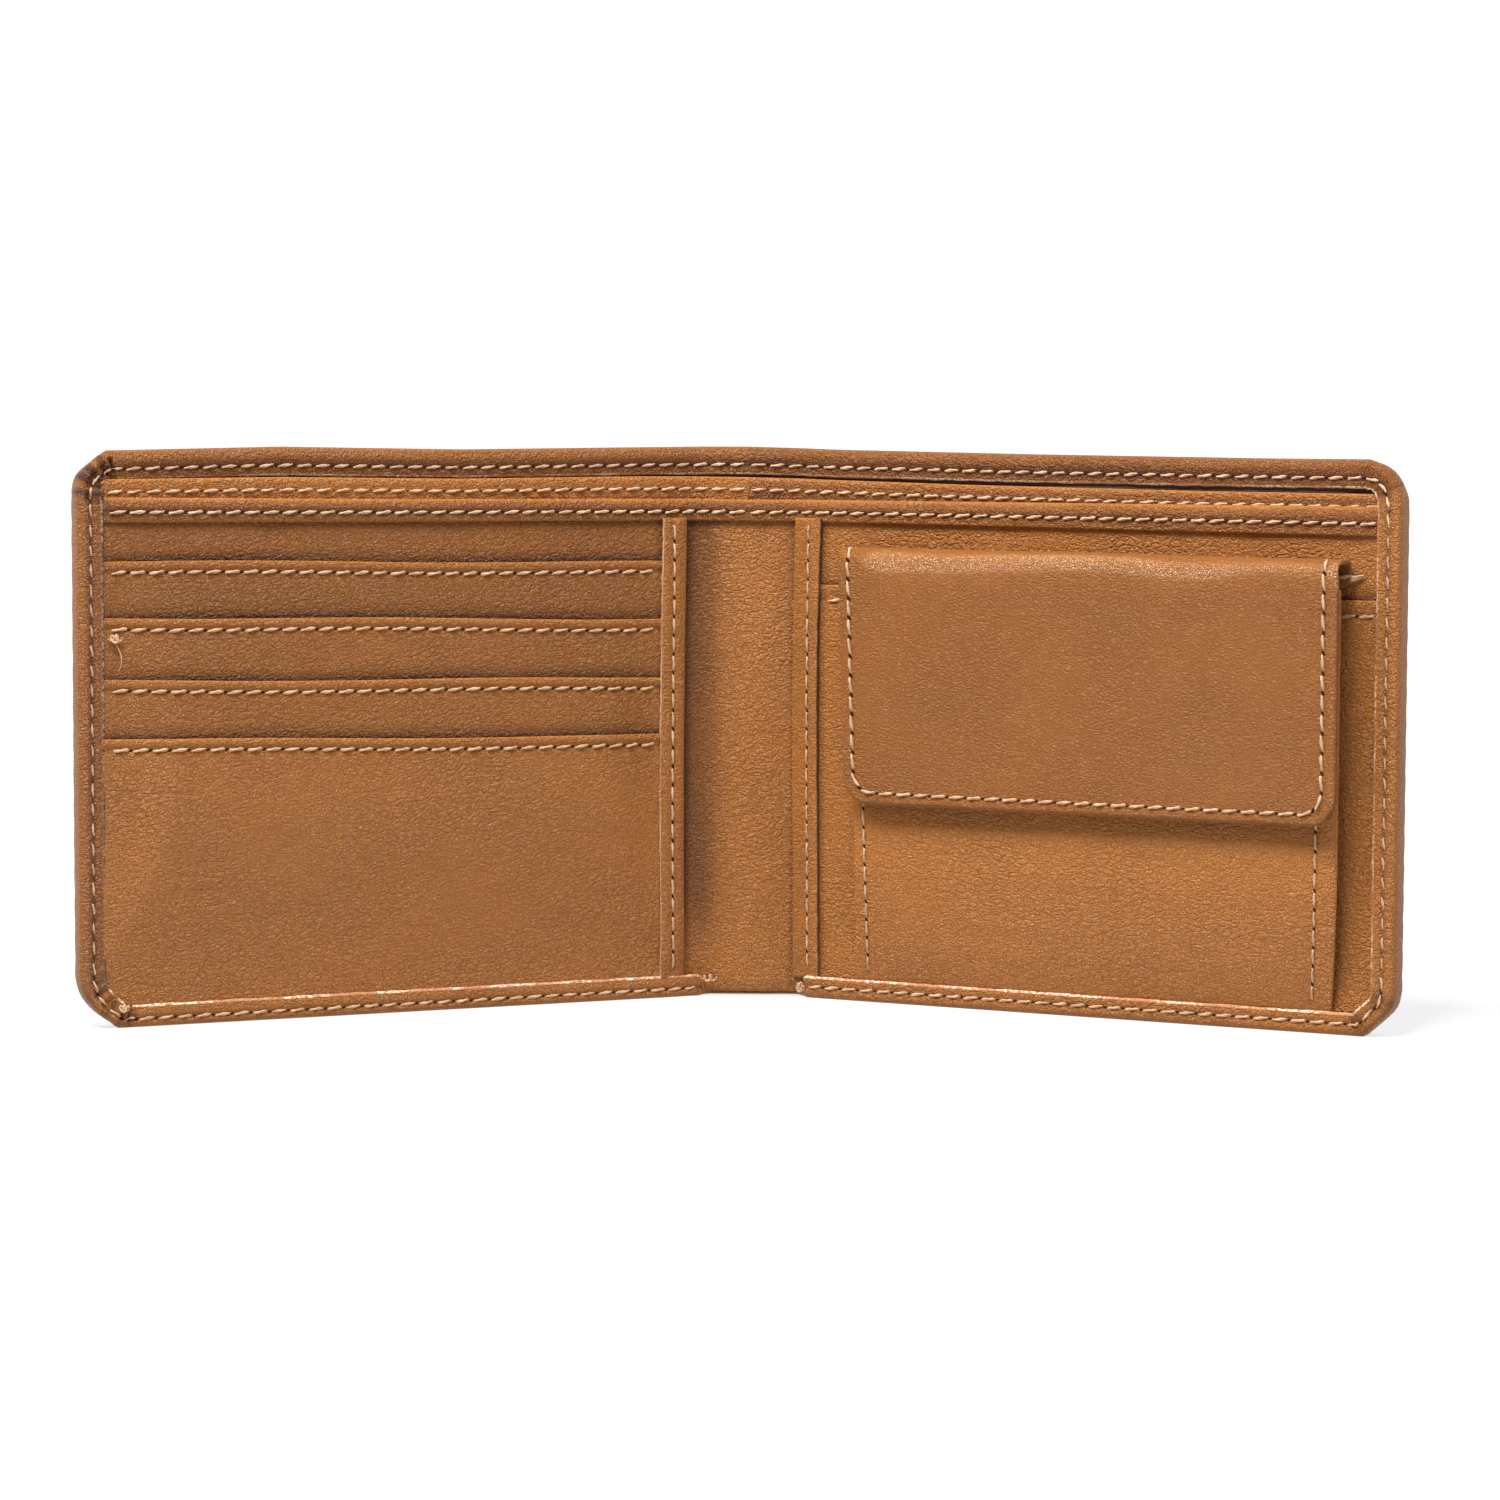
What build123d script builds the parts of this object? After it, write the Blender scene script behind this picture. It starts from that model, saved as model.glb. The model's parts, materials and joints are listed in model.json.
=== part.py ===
from build123d import *
import os

# A bifold wallet with a coin pocket. It stands on its bottom edge, half open like a book, with the
# spine at the back (+Y) and both halves leaning towards the front (-Y). +Z is up.
#
# Every sheet is first drawn with the wallet opened flat, where
#   u is the distance from the middle of the spine, to the left or to the right,
#   n is the depth from the outer face of the cover, growing towards the inside, and
#   z is the height above the bottom edge.
# Each half is then turned about its own fold line to its rest angle.

# ---- Driving dimensions, in mm and degrees ----
HEIGHT = 90.0
HALF_WIDTH = 112.5
SPINE_HALF = 8.5
REST_ANGLE = 25.0
CORNER_RADIUS = 6.0
PLAY = 0.1

# Turned edge: the cover leather folded over the front of the inner layers
TURN_WALL = 0.8
TURN_WIDTH = 3.8
TOP_HEM_BOTTOM = 85.5
SEAM_INSET = 1.8

# Layer faces, as (back, front) depths
COVER = (0.0, 1.0)
COVER_LINING = (1.0, 1.2)
TOP_HEM = (1.2, 2.0)
DIVIDER = (1.8, 2.3)
INNER_LINING = (2.9, 3.1)
BASE = (3.1, 3.8)
TURNED_EDGE = (3.8, 4.6)
BINDING = (3.8, 5.0)
BAND = (2.4, 4.4)
BAND_LEATHER = 0.6

# Heights of the layers' top edges
DIVIDER_TOP = 85.3
BAND_TOP = 82.6
BAND_BOTTOM = 78.4
LINING_TOP = 88.6
HEM_SEAM_DROP = 2.8
DIVIDER_SEAM_DROP = 1.5
BAND_SEAM_DROP = 2.4

# Where the inner layers start, beside the fold
LEFT_START = 12.0
RIGHT_START = 10.2
SPINE_INNER_HALF = 4.1
SPINE_DIVIDER_HALF = 7.0
BINDING_WIDTH = 4.2

# Card pockets, the lowest and front-most one last
CARD_TOPS = (72.5, 63.4, 53.8, 44.4)
CARD_PITCH = 0.6
CARD_LINING = 0.1
CARD_OVERLAP = 6.0
CARD_DEPTH = 46.0
CARD_SEAM_DROP = 1.7

# Slip pocket behind the coin pocket
SLIP_TOP = 67.8
SLIP_LINING = (3.8, 3.9)
SLIP_LEATHER = (3.9, 4.4)
SLIP_SEAM = 65.4

# Coin pocket
COIN_U = (22.0, 104.4)
COIN_BACK = (4.6, 4.9)
COIN_FRONT_LINING = (7.8, 8.0)
COIN_FRONT = (8.0, 8.7)
COIN_FRONT_TOP = 69.5
COIN_SEAM_INSET = 2.6
GUSSET_FOLD = 3.0
GUSSET_LEATHER = 0.5

# Coin pocket flap: a tail sewn to the panel, a bridge over the pocket and a front
FLAP_U = (21.5, 104.8)
FLAP_TOP = 74.2
FLAP_BOTTOM = 33.0
FLAP_CORNER = 4.5
FLAP_SEAM_INSET = 2.3
FLAP_TAIL = (3.8, 4.8)
FLAP_TAIL_BOTTOM = 69.9
TAIL_SEAM = 71.4
BARTACK_REACH = 1.4
BRIDGE = (4.95, 9.2)
BRIDGE_LEATHER = 0.8
BRIDGE_LINING = 0.4
FLAP_LINING = (9.5, 9.8)
FLAP_STIFFENER = (9.8, 10.5)
FLAP_LEATHER = (10.5, 11.3)
STIFFENER_INSET = 3.6
BRIDGE_HINGE = (4.9, 74.2)
FLAP_HINGE = (10.7, 73.6)

# Press stud under the flap
SNAP_U = 63.5
SNAP_Z = 43.5
STUD_DISC_RADIUS = 4.0
STUD_POST_RADIUS = 1.8
STUD_POST_END = 10.1
RIVET_RADIUS = 1.0
SOCKET_RADIUS = 4.5
SOCKET_BORE_RADIUS = 2.2
SOCKET_BARREL_RADIUS = 3.0
SNAP_CAP_RADIUS = 5.0
SNAP_PLATE = 0.3
SNAP_CAP = 0.2
HOLE_PLAY = 0.05

# Sewing thread
THREAD_WIDTH = 0.5
THREAD_HEIGHT = 0.2

LEFT = -1
RIGHT = 1
FOLD_DEPTH = COVER[1]

nodes = {"spine": {}, "left_half": {}, "right_half": {}, "flap_bridge": {}, "flap": {}}


# ---- Shapes on the flat wallet ----
def block(x, n, z):
    """A box between three (low, high) pairs, where n is a depth and x runs across the wallet."""
    middle = Pos((x[0] + x[1]) / 2, FOLD_DEPTH - (n[0] + n[1]) / 2, (z[0] + z[1]) / 2)
    return middle * Box(x[1] - x[0], n[1] - n[0], z[1] - z[0])


def sheet(side, u, n, z, bottom_radius=0.0, top_radius=0.0):
    """A flat sheet on one half, with its outer corners rounded."""
    solid = block(tuple(sorted((side * u[0], side * u[1]))), n, z)
    corners = solid.edges().filter_by(Axis.Y).sort_by(Axis.X)
    outer = (corners[-2:] if side == RIGHT else corners[:2]).sort_by(Axis.Z)
    if bottom_radius:
        solid = fillet(outer[0], bottom_radius)
    if top_radius:
        corners = solid.edges().filter_by(Axis.Y).filter_by(GeomType.LINE)
        top = max(corners, key=lambda edge: side * edge.center().X + edge.center().Z)
        solid = fillet(top, top_radius)
    return solid


def disc(radius, n, bore=0.0):
    """A round plate at the press stud's place, with a bore through it if one is given."""
    middle = Pos(SNAP_U, FOLD_DEPTH - (n[0] + n[1]) / 2, SNAP_Z) * Rot(90, 0, 0)
    solid = middle * Cylinder(radius, n[1] - n[0])
    if bore:
        solid -= middle * Cylinder(bore, 2 * (n[1] - n[0]))
    return solid


def proud(face):
    """The depths of a thread that lies on a face."""
    return (face, face + THREAD_HEIGHT)


def around(centre):
    """The span of a thread's width around its line."""
    return (centre - THREAD_WIDTH / 2, centre + THREAD_WIDTH / 2)


def both(x):
    """A span that runs the same distance to both sides of the middle."""
    return (-x, x)


# ---- Layers that cross the spine ----
def spine_layers():
    return {
        "cover_spine": block(both(SPINE_HALF - PLAY / 2), COVER, (0, HEIGHT)),
        "cover_lining_spine": block(both(SPINE_HALF - 3 * PLAY), COVER_LINING, (TURN_WALL, LINING_TOP)),
        "bill_divider_spine": block(both(SPINE_DIVIDER_HALF), DIVIDER, (TURN_WALL, DIVIDER_TOP)),
        "inner_panel_spine": block(
            both(SPINE_INNER_HALF), (INNER_LINING[0], BASE[1]), (TURN_WALL, BAND_TOP - BAND_LEATHER)
        ),
        "top_band_spine": top_band(*both(SPINE_INNER_HALF)),
        "top_edge_threads_spine": top_edge_threads(both(SPINE_HALF - PLAY), both(SPINE_INNER_HALF), COVER_LINING[1]),
    }


def top_band(low, high):
    """The strip of leather folded over the top edge of the inner panel."""
    outside = block((low, high), BAND, (BAND_BOTTOM, BAND_TOP))
    slot = block((low - 1, high + 1), (INNER_LINING[0], BASE[1]), (0, BAND_TOP - BAND_LEATHER))
    return outside - slot


def top_edge_threads(cover_x, inner_x, cover_face):
    """Three lines of thread: on the cover's top hem, the bill divider and the top band."""
    return Compound(
        [
            block(cover_x, proud(cover_face), around(HEIGHT - HEM_SEAM_DROP)),
            block(inner_x, proud(DIVIDER[1]), around(DIVIDER_TOP - DIVIDER_SEAM_DROP)),
            block(inner_x, proud(BAND[1]), around(BAND_TOP - BAND_SEAM_DROP)),
        ]
    )


def cover_half(side):
    """The cover leather of one half, with its outer and bottom edges turned over the front."""
    inner_radius = CORNER_RADIUS - TURN_WALL
    start = SPINE_HALF + PLAY / 2
    solid = sheet(
        side, (start, HALF_WIDTH), (0, TURNED_EDGE[1]), (0, HEIGHT), CORNER_RADIUS, CORNER_RADIUS
    )
    solid -= sheet(
        side, (0, HALF_WIDTH - TURN_WALL), (COVER[1], TURNED_EDGE[0]), (TURN_WALL, 2 * HEIGHT), inner_radius
    )
    solid -= sheet(side, (0, HALF_WIDTH - TURN_WIDTH), (TURNED_EDGE[0], 9), (TURN_WIDTH, 2 * HEIGHT))
    solid -= sheet(side, (0, RIGHT_START), (COVER[1], 9), (-1, 2 * HEIGHT))
    hem = sheet(side, (RIGHT_START, HALF_WIDTH), TOP_HEM, (TOP_HEM_BOTTOM, HEIGHT))
    hem += sheet(side, (RIGHT_START, HALF_WIDTH), (COVER[1], TOP_HEM[1]), (HEIGHT - TURN_WALL, HEIGHT))
    outline = sheet(side, (start, HALF_WIDTH), (0, TURNED_EDGE[1]), (0, HEIGHT), CORNER_RADIUS, CORNER_RADIUS)
    return solid + (hem & outline)


def cover_edge_thread(side):
    """The line of thread along the outer and bottom turned edges."""
    face = proud(TURNED_EDGE[1])
    near, far = around(SEAM_INSET)
    outside = sheet(
        side, (RIGHT_START, HALF_WIDTH - near), face, (near, HEIGHT - near), CORNER_RADIUS - near, CORNER_RADIUS - near
    )
    inside = sheet(side, (0, HALF_WIDTH - far), (0, 9), (far, 2 * HEIGHT), CORNER_RADIUS - far)
    return outside - inside


def shared_half_layers(side, start):
    """The layers that both halves have: cover, lining, bill divider, inner lining and top band."""
    name = "left" if side == LEFT else "right"
    base_name = "card_base_panel" if side == LEFT else "coin_base_panel"
    edge = HALF_WIDTH - TURN_WALL - PLAY
    window = HALF_WIDTH - TURN_WIDTH - PLAY
    low = TURN_WALL + PLAY
    radius = CORNER_RADIUS - TURN_WALL - PLAY
    band_x = sorted((side * start, side * window))
    inner_top = BAND_TOP - BAND_LEATHER
    return {
        f"cover_{name}": cover_half(side),
        f"cover_lining_{name}": sheet(side, (SPINE_HALF + 3 * PLAY, edge), COVER_LINING, (low, LINING_TOP), radius, radius),
        f"bill_divider_{name}": sheet(side, (RIGHT_START, edge), DIVIDER, (low, DIVIDER_TOP), radius),
        f"inner_lining_{name}": sheet(side, (start, edge), INNER_LINING, (low, inner_top), radius),
        base_name: sheet(side, (start, edge), BASE, (low, inner_top), radius),
        f"top_band_{name}": top_band(*band_x),
        f"top_edge_threads_{name}": top_edge_threads(
            tuple(sorted((side * RIGHT_START, side * window))), tuple(band_x), TOP_HEM[1]
        ),
        f"cover_edge_thread_{name}": cover_edge_thread(side),
    }


def binding(side, start):
    """The folded inner edge of a panel, with its line of thread."""
    z = (TURN_WIDTH + PLAY, BAND_BOTTOM - PLAY)
    line = around(start + BINDING_WIDTH / 2)
    return (
        sheet(side, (start, start + BINDING_WIDTH), BINDING, z),
        sheet(side, line, proud(BINDING[1]), z),
    )


# ---- Card half ----
def card_pockets():
    """Four overlapping pockets. All but the front one have a short leather strip on a deep lining."""
    made = {}
    threads = []
    u = (LEFT_START + BINDING_WIDTH + PLAY, HALF_WIDTH - TURN_WIDTH - PLAY)
    floor = TURN_WIDTH + PLAY
    last = len(CARD_TOPS) - 1
    for i, top in enumerate(CARD_TOPS):
        back = BASE[1] + i * CARD_PITCH
        front = back + CARD_PITCH
        bottom = floor if i == last else CARD_TOPS[i + 1] - CARD_OVERLAP
        leather_back = back + CARD_LINING
        made[f"card_pocket_{i + 1}"] = sheet(LEFT, u, (leather_back, front), (bottom, top))
        if i < last:
            made[f"card_pocket_lining_{i + 1}"] = sheet(
                LEFT, u, (back, leather_back), (max(floor, top - CARD_DEPTH), top - 1)
            )
        threads.append(sheet(LEFT, u, proud(front), around(top - CARD_SEAM_DROP)))
    made["card_pocket_threads"] = Compound(threads)
    return made


def left_layers():
    made = shared_half_layers(LEFT, LEFT_START)
    made["card_panel_binding"], made["card_binding_thread"] = binding(LEFT, LEFT_START)
    made.update(card_pockets())
    return made


# ---- Coin half ----
def gusset(edge, inward):
    """One side wall of the coin pocket, folded inwards like a bellows."""
    back = COIN_BACK[1]
    front = COIN_FRONT_LINING[0]
    middle = (back + front) / 2
    fold = edge + inward * GUSSET_FOLD
    wall = inward * GUSSET_LEATHER
    outline = [
        (edge, back),
        (edge + wall * 2, back),
        (fold + wall, middle),
        (edge + wall * 2, front),
        (edge, front),
        (fold, middle),
    ]
    points = [(u, FOLD_DEPTH - n) for u, n in outline]
    profile = Plane.XY.offset(TURN_WIDTH + 1) * Polygon(*points, align=None)
    return extrude(profile, COIN_FRONT_TOP - TURN_WIDTH - 2, dir=(0, 0, 1))


def coin_pocket():
    """The coin pocket: a back, two gussets, and a lined front that returns along the bottom."""
    floor = TURN_WIDTH + PLAY
    seam_left = around(COIN_U[0] + COIN_SEAM_INSET)
    seam_right = around(COIN_U[1] - COIN_SEAM_INSET)
    rivet_hole = disc(RIVET_RADIUS + HOLE_PLAY, (COIN_FRONT_LINING[0] - 1, COIN_FRONT[1] + 1))
    front = block(COIN_U, COIN_FRONT, (floor, COIN_FRONT_TOP)) - rivet_hole
    front += block(COIN_U, (COIN_BACK[1], COIN_FRONT[1]), (floor, floor + 0.7))
    lining = block(COIN_U, COIN_FRONT_LINING, (floor + 0.8, COIN_FRONT_TOP)) - rivet_hole
    return {
        "coin_pocket_back": block(COIN_U, COIN_BACK, (floor, FLAP_TAIL_BOTTOM - PLAY)),
        "coin_pocket_front": front,
        "coin_pocket_lining": lining,
        "coin_gusset_inner": gusset(COIN_U[0], 1),
        "coin_gusset_outer": gusset(COIN_U[1], -1),
        "coin_pocket_threads": Compound(
            [block(line, proud(COIN_FRONT[1]), (floor, COIN_FRONT_TOP - 0.5)) for line in (seam_left, seam_right)]
        ),
    }


def snap_on_pocket():
    """The stud on the pocket's front and the rivet that holds it from inside."""
    face = COIN_FRONT[1]
    inside = COIN_FRONT_LINING[0]
    stud = disc(STUD_DISC_RADIUS, (face, face + SNAP_PLATE))
    stud += disc(STUD_POST_RADIUS, (face, STUD_POST_END))
    rivet = disc(STUD_DISC_RADIUS, (inside - SNAP_PLATE, inside)) + disc(RIVET_RADIUS, (inside - SNAP_PLATE, face))
    return {"snap_stud": stud, "snap_rivet": rivet}


def right_layers():
    made = shared_half_layers(RIGHT, RIGHT_START)
    made["coin_panel_binding"], made["coin_binding_thread"] = binding(RIGHT, RIGHT_START)
    slip_u = (RIGHT_START + BINDING_WIDTH + PLAY, HALF_WIDTH - TURN_WIDTH - PLAY)
    slip_z = (TURN_WIDTH + PLAY, SLIP_TOP)
    made["slip_pocket"] = block(slip_u, SLIP_LEATHER, slip_z)
    made["slip_pocket_lining"] = block(slip_u, SLIP_LINING, slip_z)
    made["slip_pocket_thread"] = block(slip_u, proud(SLIP_LEATHER[1]), around(SLIP_SEAM))
    made.update(coin_pocket())
    made.update(snap_on_pocket())
    made["flap_tail"] = block(FLAP_U, FLAP_TAIL, (FLAP_TAIL_BOTTOM, FLAP_TOP))
    made["flap_tail_thread"] = block(
        (FLAP_U[0], FLAP_U[1]), proud(FLAP_TAIL[1]), around(TAIL_SEAM)
    ) + block((FLAP_U[1], FLAP_U[1] + BARTACK_REACH), (BASE[1], FLAP_TAIL[1] + THREAD_HEIGHT), around(TAIL_SEAM))
    return made


# ---- Flap ----
def bridge_layers():
    split = FLAP_TOP - BRIDGE_LEATHER
    return {
        "flap_bridge_leather": block(FLAP_U, BRIDGE, (split, FLAP_TOP)),
        "flap_bridge_lining": block(FLAP_U, BRIDGE, (split - BRIDGE_LINING, split)),
    }


def flap_sheet(n, inset=0.0, top=FLAP_TOP):
    """A layer of the flap's front, with its two lower corners rounded."""
    solid = block((FLAP_U[0] + inset, FLAP_U[1] - inset), n, (FLAP_BOTTOM + inset, top))
    lower = solid.edges().filter_by(Axis.Y).sort_by(Axis.Z)[:2]
    return fillet(lower, FLAP_CORNER - inset)


def flap_layers():
    barrel_end = FLAP_STIFFENER[1] - SNAP_CAP
    barrel_hole = disc(SOCKET_BARREL_RADIUS + HOLE_PLAY, (FLAP_LINING[0] - 1, FLAP_STIFFENER[1] + 1))
    cap_recess = disc(SNAP_CAP_RADIUS + HOLE_PLAY, (barrel_end, FLAP_STIFFENER[1] + 1))
    socket = disc(SOCKET_RADIUS, (FLAP_LINING[0] - SNAP_PLATE, FLAP_LINING[0]))
    socket += disc(SOCKET_BARREL_RADIUS, (FLAP_LINING[0], barrel_end))
    socket -= disc(SOCKET_BORE_RADIUS, (FLAP_LINING[0] - 1, FLAP_STIFFENER[1]))
    near, far = around(FLAP_SEAM_INSET)
    seam_top = FLAP_TOP - 1.2
    seam = flap_sheet(proud(FLAP_LEATHER[1]), near, seam_top) - flap_sheet((0, 20), far, seam_top + 1)
    return {
        "flap_leather": flap_sheet(FLAP_LEATHER),
        "flap_stiffener": flap_sheet(FLAP_STIFFENER, STIFFENER_INSET, FLAP_TOP - 2) - barrel_hole - cap_recess,
        "flap_lining": flap_sheet(FLAP_LINING) - barrel_hole,
        "flap_thread": seam,
        "snap_socket": socket,
        "snap_cap": disc(SNAP_CAP_RADIUS, (barrel_end, FLAP_STIFFENER[1])),
    }


# ---- Assembly ----
def fold(side):
    """Turns a half about its fold line, from flat to its rest angle."""
    return Pos(side * SPINE_HALF, 0, 0) * Rot(0, 0, -side * REST_ANGLE) * Pos(-side * SPINE_HALF, 0, 0)


nodes["spine"] = spine_layers()
nodes["left_half"] = {name: fold(LEFT) * solid for name, solid in left_layers().items()}
nodes["right_half"] = {name: fold(RIGHT) * solid for name, solid in right_layers().items()}
nodes["flap_bridge"] = {name: fold(RIGHT) * solid for name, solid in bridge_layers().items()}
nodes["flap"] = {name: fold(RIGHT) * solid for name, solid in flap_layers().items()}

# The origin is under the middle of the wallet's bounding box.
boxes = [solid.bounding_box() for body in nodes.values() for solid in body.values()]
middle_x = (min(box.min.X for box in boxes) + max(box.max.X for box in boxes)) / 2
middle_y = (min(box.min.Y for box in boxes) + max(box.max.Y for box in boxes)) / 2
centre = Pos(-middle_x, -middle_y, 0)
print("the fold lines are at y =", round(-middle_y, 4))

os.makedirs("parts", exist_ok=True)
for body in nodes.values():
    for name, solid in body.items():
        export_step(centre * solid, f"parts/{name}.step")
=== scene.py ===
"""Looks of a bifold wallet with a coin pocket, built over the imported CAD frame.

Pieces are drawn with the wallet opened flat: u is the distance from the middle of the spine, n the depth from
the cover's outer face towards the inside, and z the height, all in mm. fold() carries them to the rest pose.
"""

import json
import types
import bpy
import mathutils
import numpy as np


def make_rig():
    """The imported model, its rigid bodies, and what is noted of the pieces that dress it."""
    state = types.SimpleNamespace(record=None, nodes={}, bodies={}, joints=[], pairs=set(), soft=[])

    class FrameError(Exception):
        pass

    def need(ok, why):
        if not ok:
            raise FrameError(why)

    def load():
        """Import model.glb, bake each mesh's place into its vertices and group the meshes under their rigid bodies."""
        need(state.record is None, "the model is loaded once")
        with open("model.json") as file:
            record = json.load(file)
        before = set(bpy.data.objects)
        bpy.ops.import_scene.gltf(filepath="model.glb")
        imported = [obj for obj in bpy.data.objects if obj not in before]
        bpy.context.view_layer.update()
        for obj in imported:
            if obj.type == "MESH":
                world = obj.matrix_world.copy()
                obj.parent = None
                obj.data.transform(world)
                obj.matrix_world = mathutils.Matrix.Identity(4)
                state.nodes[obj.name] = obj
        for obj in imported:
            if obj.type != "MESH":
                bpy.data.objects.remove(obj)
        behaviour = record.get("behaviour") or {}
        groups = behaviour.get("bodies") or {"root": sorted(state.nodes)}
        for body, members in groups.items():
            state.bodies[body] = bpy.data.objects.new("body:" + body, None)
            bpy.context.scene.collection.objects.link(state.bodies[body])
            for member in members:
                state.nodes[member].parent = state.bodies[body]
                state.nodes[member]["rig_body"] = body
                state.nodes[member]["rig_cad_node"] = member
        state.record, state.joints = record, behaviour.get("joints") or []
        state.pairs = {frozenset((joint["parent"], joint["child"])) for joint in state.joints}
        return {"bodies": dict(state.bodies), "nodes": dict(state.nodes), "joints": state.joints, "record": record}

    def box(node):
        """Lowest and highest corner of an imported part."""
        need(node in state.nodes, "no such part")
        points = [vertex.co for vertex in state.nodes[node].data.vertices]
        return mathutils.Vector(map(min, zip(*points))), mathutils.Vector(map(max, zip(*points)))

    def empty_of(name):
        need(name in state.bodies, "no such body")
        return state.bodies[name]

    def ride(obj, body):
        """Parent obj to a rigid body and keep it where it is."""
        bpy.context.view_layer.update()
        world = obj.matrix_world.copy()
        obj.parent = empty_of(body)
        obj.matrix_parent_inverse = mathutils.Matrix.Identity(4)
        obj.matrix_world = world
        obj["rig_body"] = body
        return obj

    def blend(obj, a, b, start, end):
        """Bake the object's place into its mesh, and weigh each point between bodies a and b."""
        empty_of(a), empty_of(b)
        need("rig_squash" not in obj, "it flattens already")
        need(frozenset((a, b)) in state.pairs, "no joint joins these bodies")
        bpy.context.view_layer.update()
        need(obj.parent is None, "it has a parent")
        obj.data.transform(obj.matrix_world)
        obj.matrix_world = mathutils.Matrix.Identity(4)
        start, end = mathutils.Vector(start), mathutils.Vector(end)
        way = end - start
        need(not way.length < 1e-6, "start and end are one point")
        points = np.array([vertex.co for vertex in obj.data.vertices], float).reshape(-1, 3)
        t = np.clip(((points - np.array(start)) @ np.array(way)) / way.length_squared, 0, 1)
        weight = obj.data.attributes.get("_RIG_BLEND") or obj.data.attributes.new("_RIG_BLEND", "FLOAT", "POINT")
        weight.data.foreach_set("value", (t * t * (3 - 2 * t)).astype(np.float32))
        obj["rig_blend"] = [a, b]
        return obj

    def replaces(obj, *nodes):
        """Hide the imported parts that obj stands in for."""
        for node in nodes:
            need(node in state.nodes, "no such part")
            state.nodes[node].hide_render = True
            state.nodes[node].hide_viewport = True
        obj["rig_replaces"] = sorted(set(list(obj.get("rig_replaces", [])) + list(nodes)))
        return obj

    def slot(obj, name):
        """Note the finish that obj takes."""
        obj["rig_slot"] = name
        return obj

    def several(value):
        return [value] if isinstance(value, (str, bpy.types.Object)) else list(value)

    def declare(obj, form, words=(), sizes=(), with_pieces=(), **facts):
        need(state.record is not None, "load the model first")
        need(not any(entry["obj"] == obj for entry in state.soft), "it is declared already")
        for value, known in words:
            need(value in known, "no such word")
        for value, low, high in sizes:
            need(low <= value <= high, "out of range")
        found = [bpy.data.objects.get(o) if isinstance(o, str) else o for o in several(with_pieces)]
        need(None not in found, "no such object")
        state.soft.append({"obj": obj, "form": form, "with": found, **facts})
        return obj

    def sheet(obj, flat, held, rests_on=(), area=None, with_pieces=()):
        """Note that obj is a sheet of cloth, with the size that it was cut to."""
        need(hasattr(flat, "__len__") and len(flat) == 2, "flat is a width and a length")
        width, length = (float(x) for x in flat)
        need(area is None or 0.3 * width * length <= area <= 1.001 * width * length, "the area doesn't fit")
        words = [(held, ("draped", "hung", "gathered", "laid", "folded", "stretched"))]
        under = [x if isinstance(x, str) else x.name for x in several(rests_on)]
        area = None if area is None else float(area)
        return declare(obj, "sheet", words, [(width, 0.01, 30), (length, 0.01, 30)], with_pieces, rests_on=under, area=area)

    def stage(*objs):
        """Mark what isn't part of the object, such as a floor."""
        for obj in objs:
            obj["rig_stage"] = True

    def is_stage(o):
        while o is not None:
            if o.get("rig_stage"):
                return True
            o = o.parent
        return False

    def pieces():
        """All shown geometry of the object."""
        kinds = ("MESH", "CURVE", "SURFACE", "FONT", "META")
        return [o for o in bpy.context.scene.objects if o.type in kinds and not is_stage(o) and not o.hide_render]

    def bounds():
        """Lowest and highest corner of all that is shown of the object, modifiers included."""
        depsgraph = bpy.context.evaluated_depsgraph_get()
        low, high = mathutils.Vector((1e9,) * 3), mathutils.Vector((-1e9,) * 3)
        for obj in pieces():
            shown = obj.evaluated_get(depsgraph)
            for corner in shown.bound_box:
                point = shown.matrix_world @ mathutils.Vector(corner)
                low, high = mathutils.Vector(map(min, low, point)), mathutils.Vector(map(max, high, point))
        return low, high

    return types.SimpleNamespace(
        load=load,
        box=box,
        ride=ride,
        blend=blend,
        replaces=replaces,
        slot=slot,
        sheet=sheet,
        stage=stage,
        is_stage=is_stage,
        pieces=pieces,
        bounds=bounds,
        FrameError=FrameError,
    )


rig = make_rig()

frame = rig.load()
cad_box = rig.bounds()

import json
import math
from functools import partial

import bpy
import numpy as np
from mathutils import Matrix

MM = 0.001
LEFT, RIGHT = -1, 1
HALF_BODY = {LEFT: "left_half", RIGHT: "right_half"}
HALF_NAME = {LEFT: "left", RIGHT: "right"}

# ---- The wallet's main sizes, from the frame ----
joints = {joint["name"]: joint for joint in frame["joints"]}
SPINE_HALF = joints["right_fold"]["pos_m"][0] / MM
HINGE_Y = joints["right_fold"]["pos_m"][1] / MM
LEAN = math.radians(90 + joints["right_fold"]["range_deg"][0])
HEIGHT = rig.box("cover_spine")[1].z / MM
HINGE_DEPTH = 1.0  # of the fold's axis in the leather
HALF_WIDTH = {LEFT: 113.6, RIGHT: 112.6}
CREASE = 5.0  # half of the strip that bends
STITCH = 3.1
SEAM_PROUD = 0.06
RIM_FRONT = {LEFT: 4.2, RIGHT: 4.5}


def smooth(t):
    t = np.clip(t, 0, 1)
    return t * t * (3 - 2 * t)


def bell(x, width):
    return np.exp(-((x / width) ** 2))


def line(x, *points):
    """A value that changes in straight runs along x."""
    xs, values = zip(*sorted(points))
    return np.interp(x, xs, values)


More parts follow.
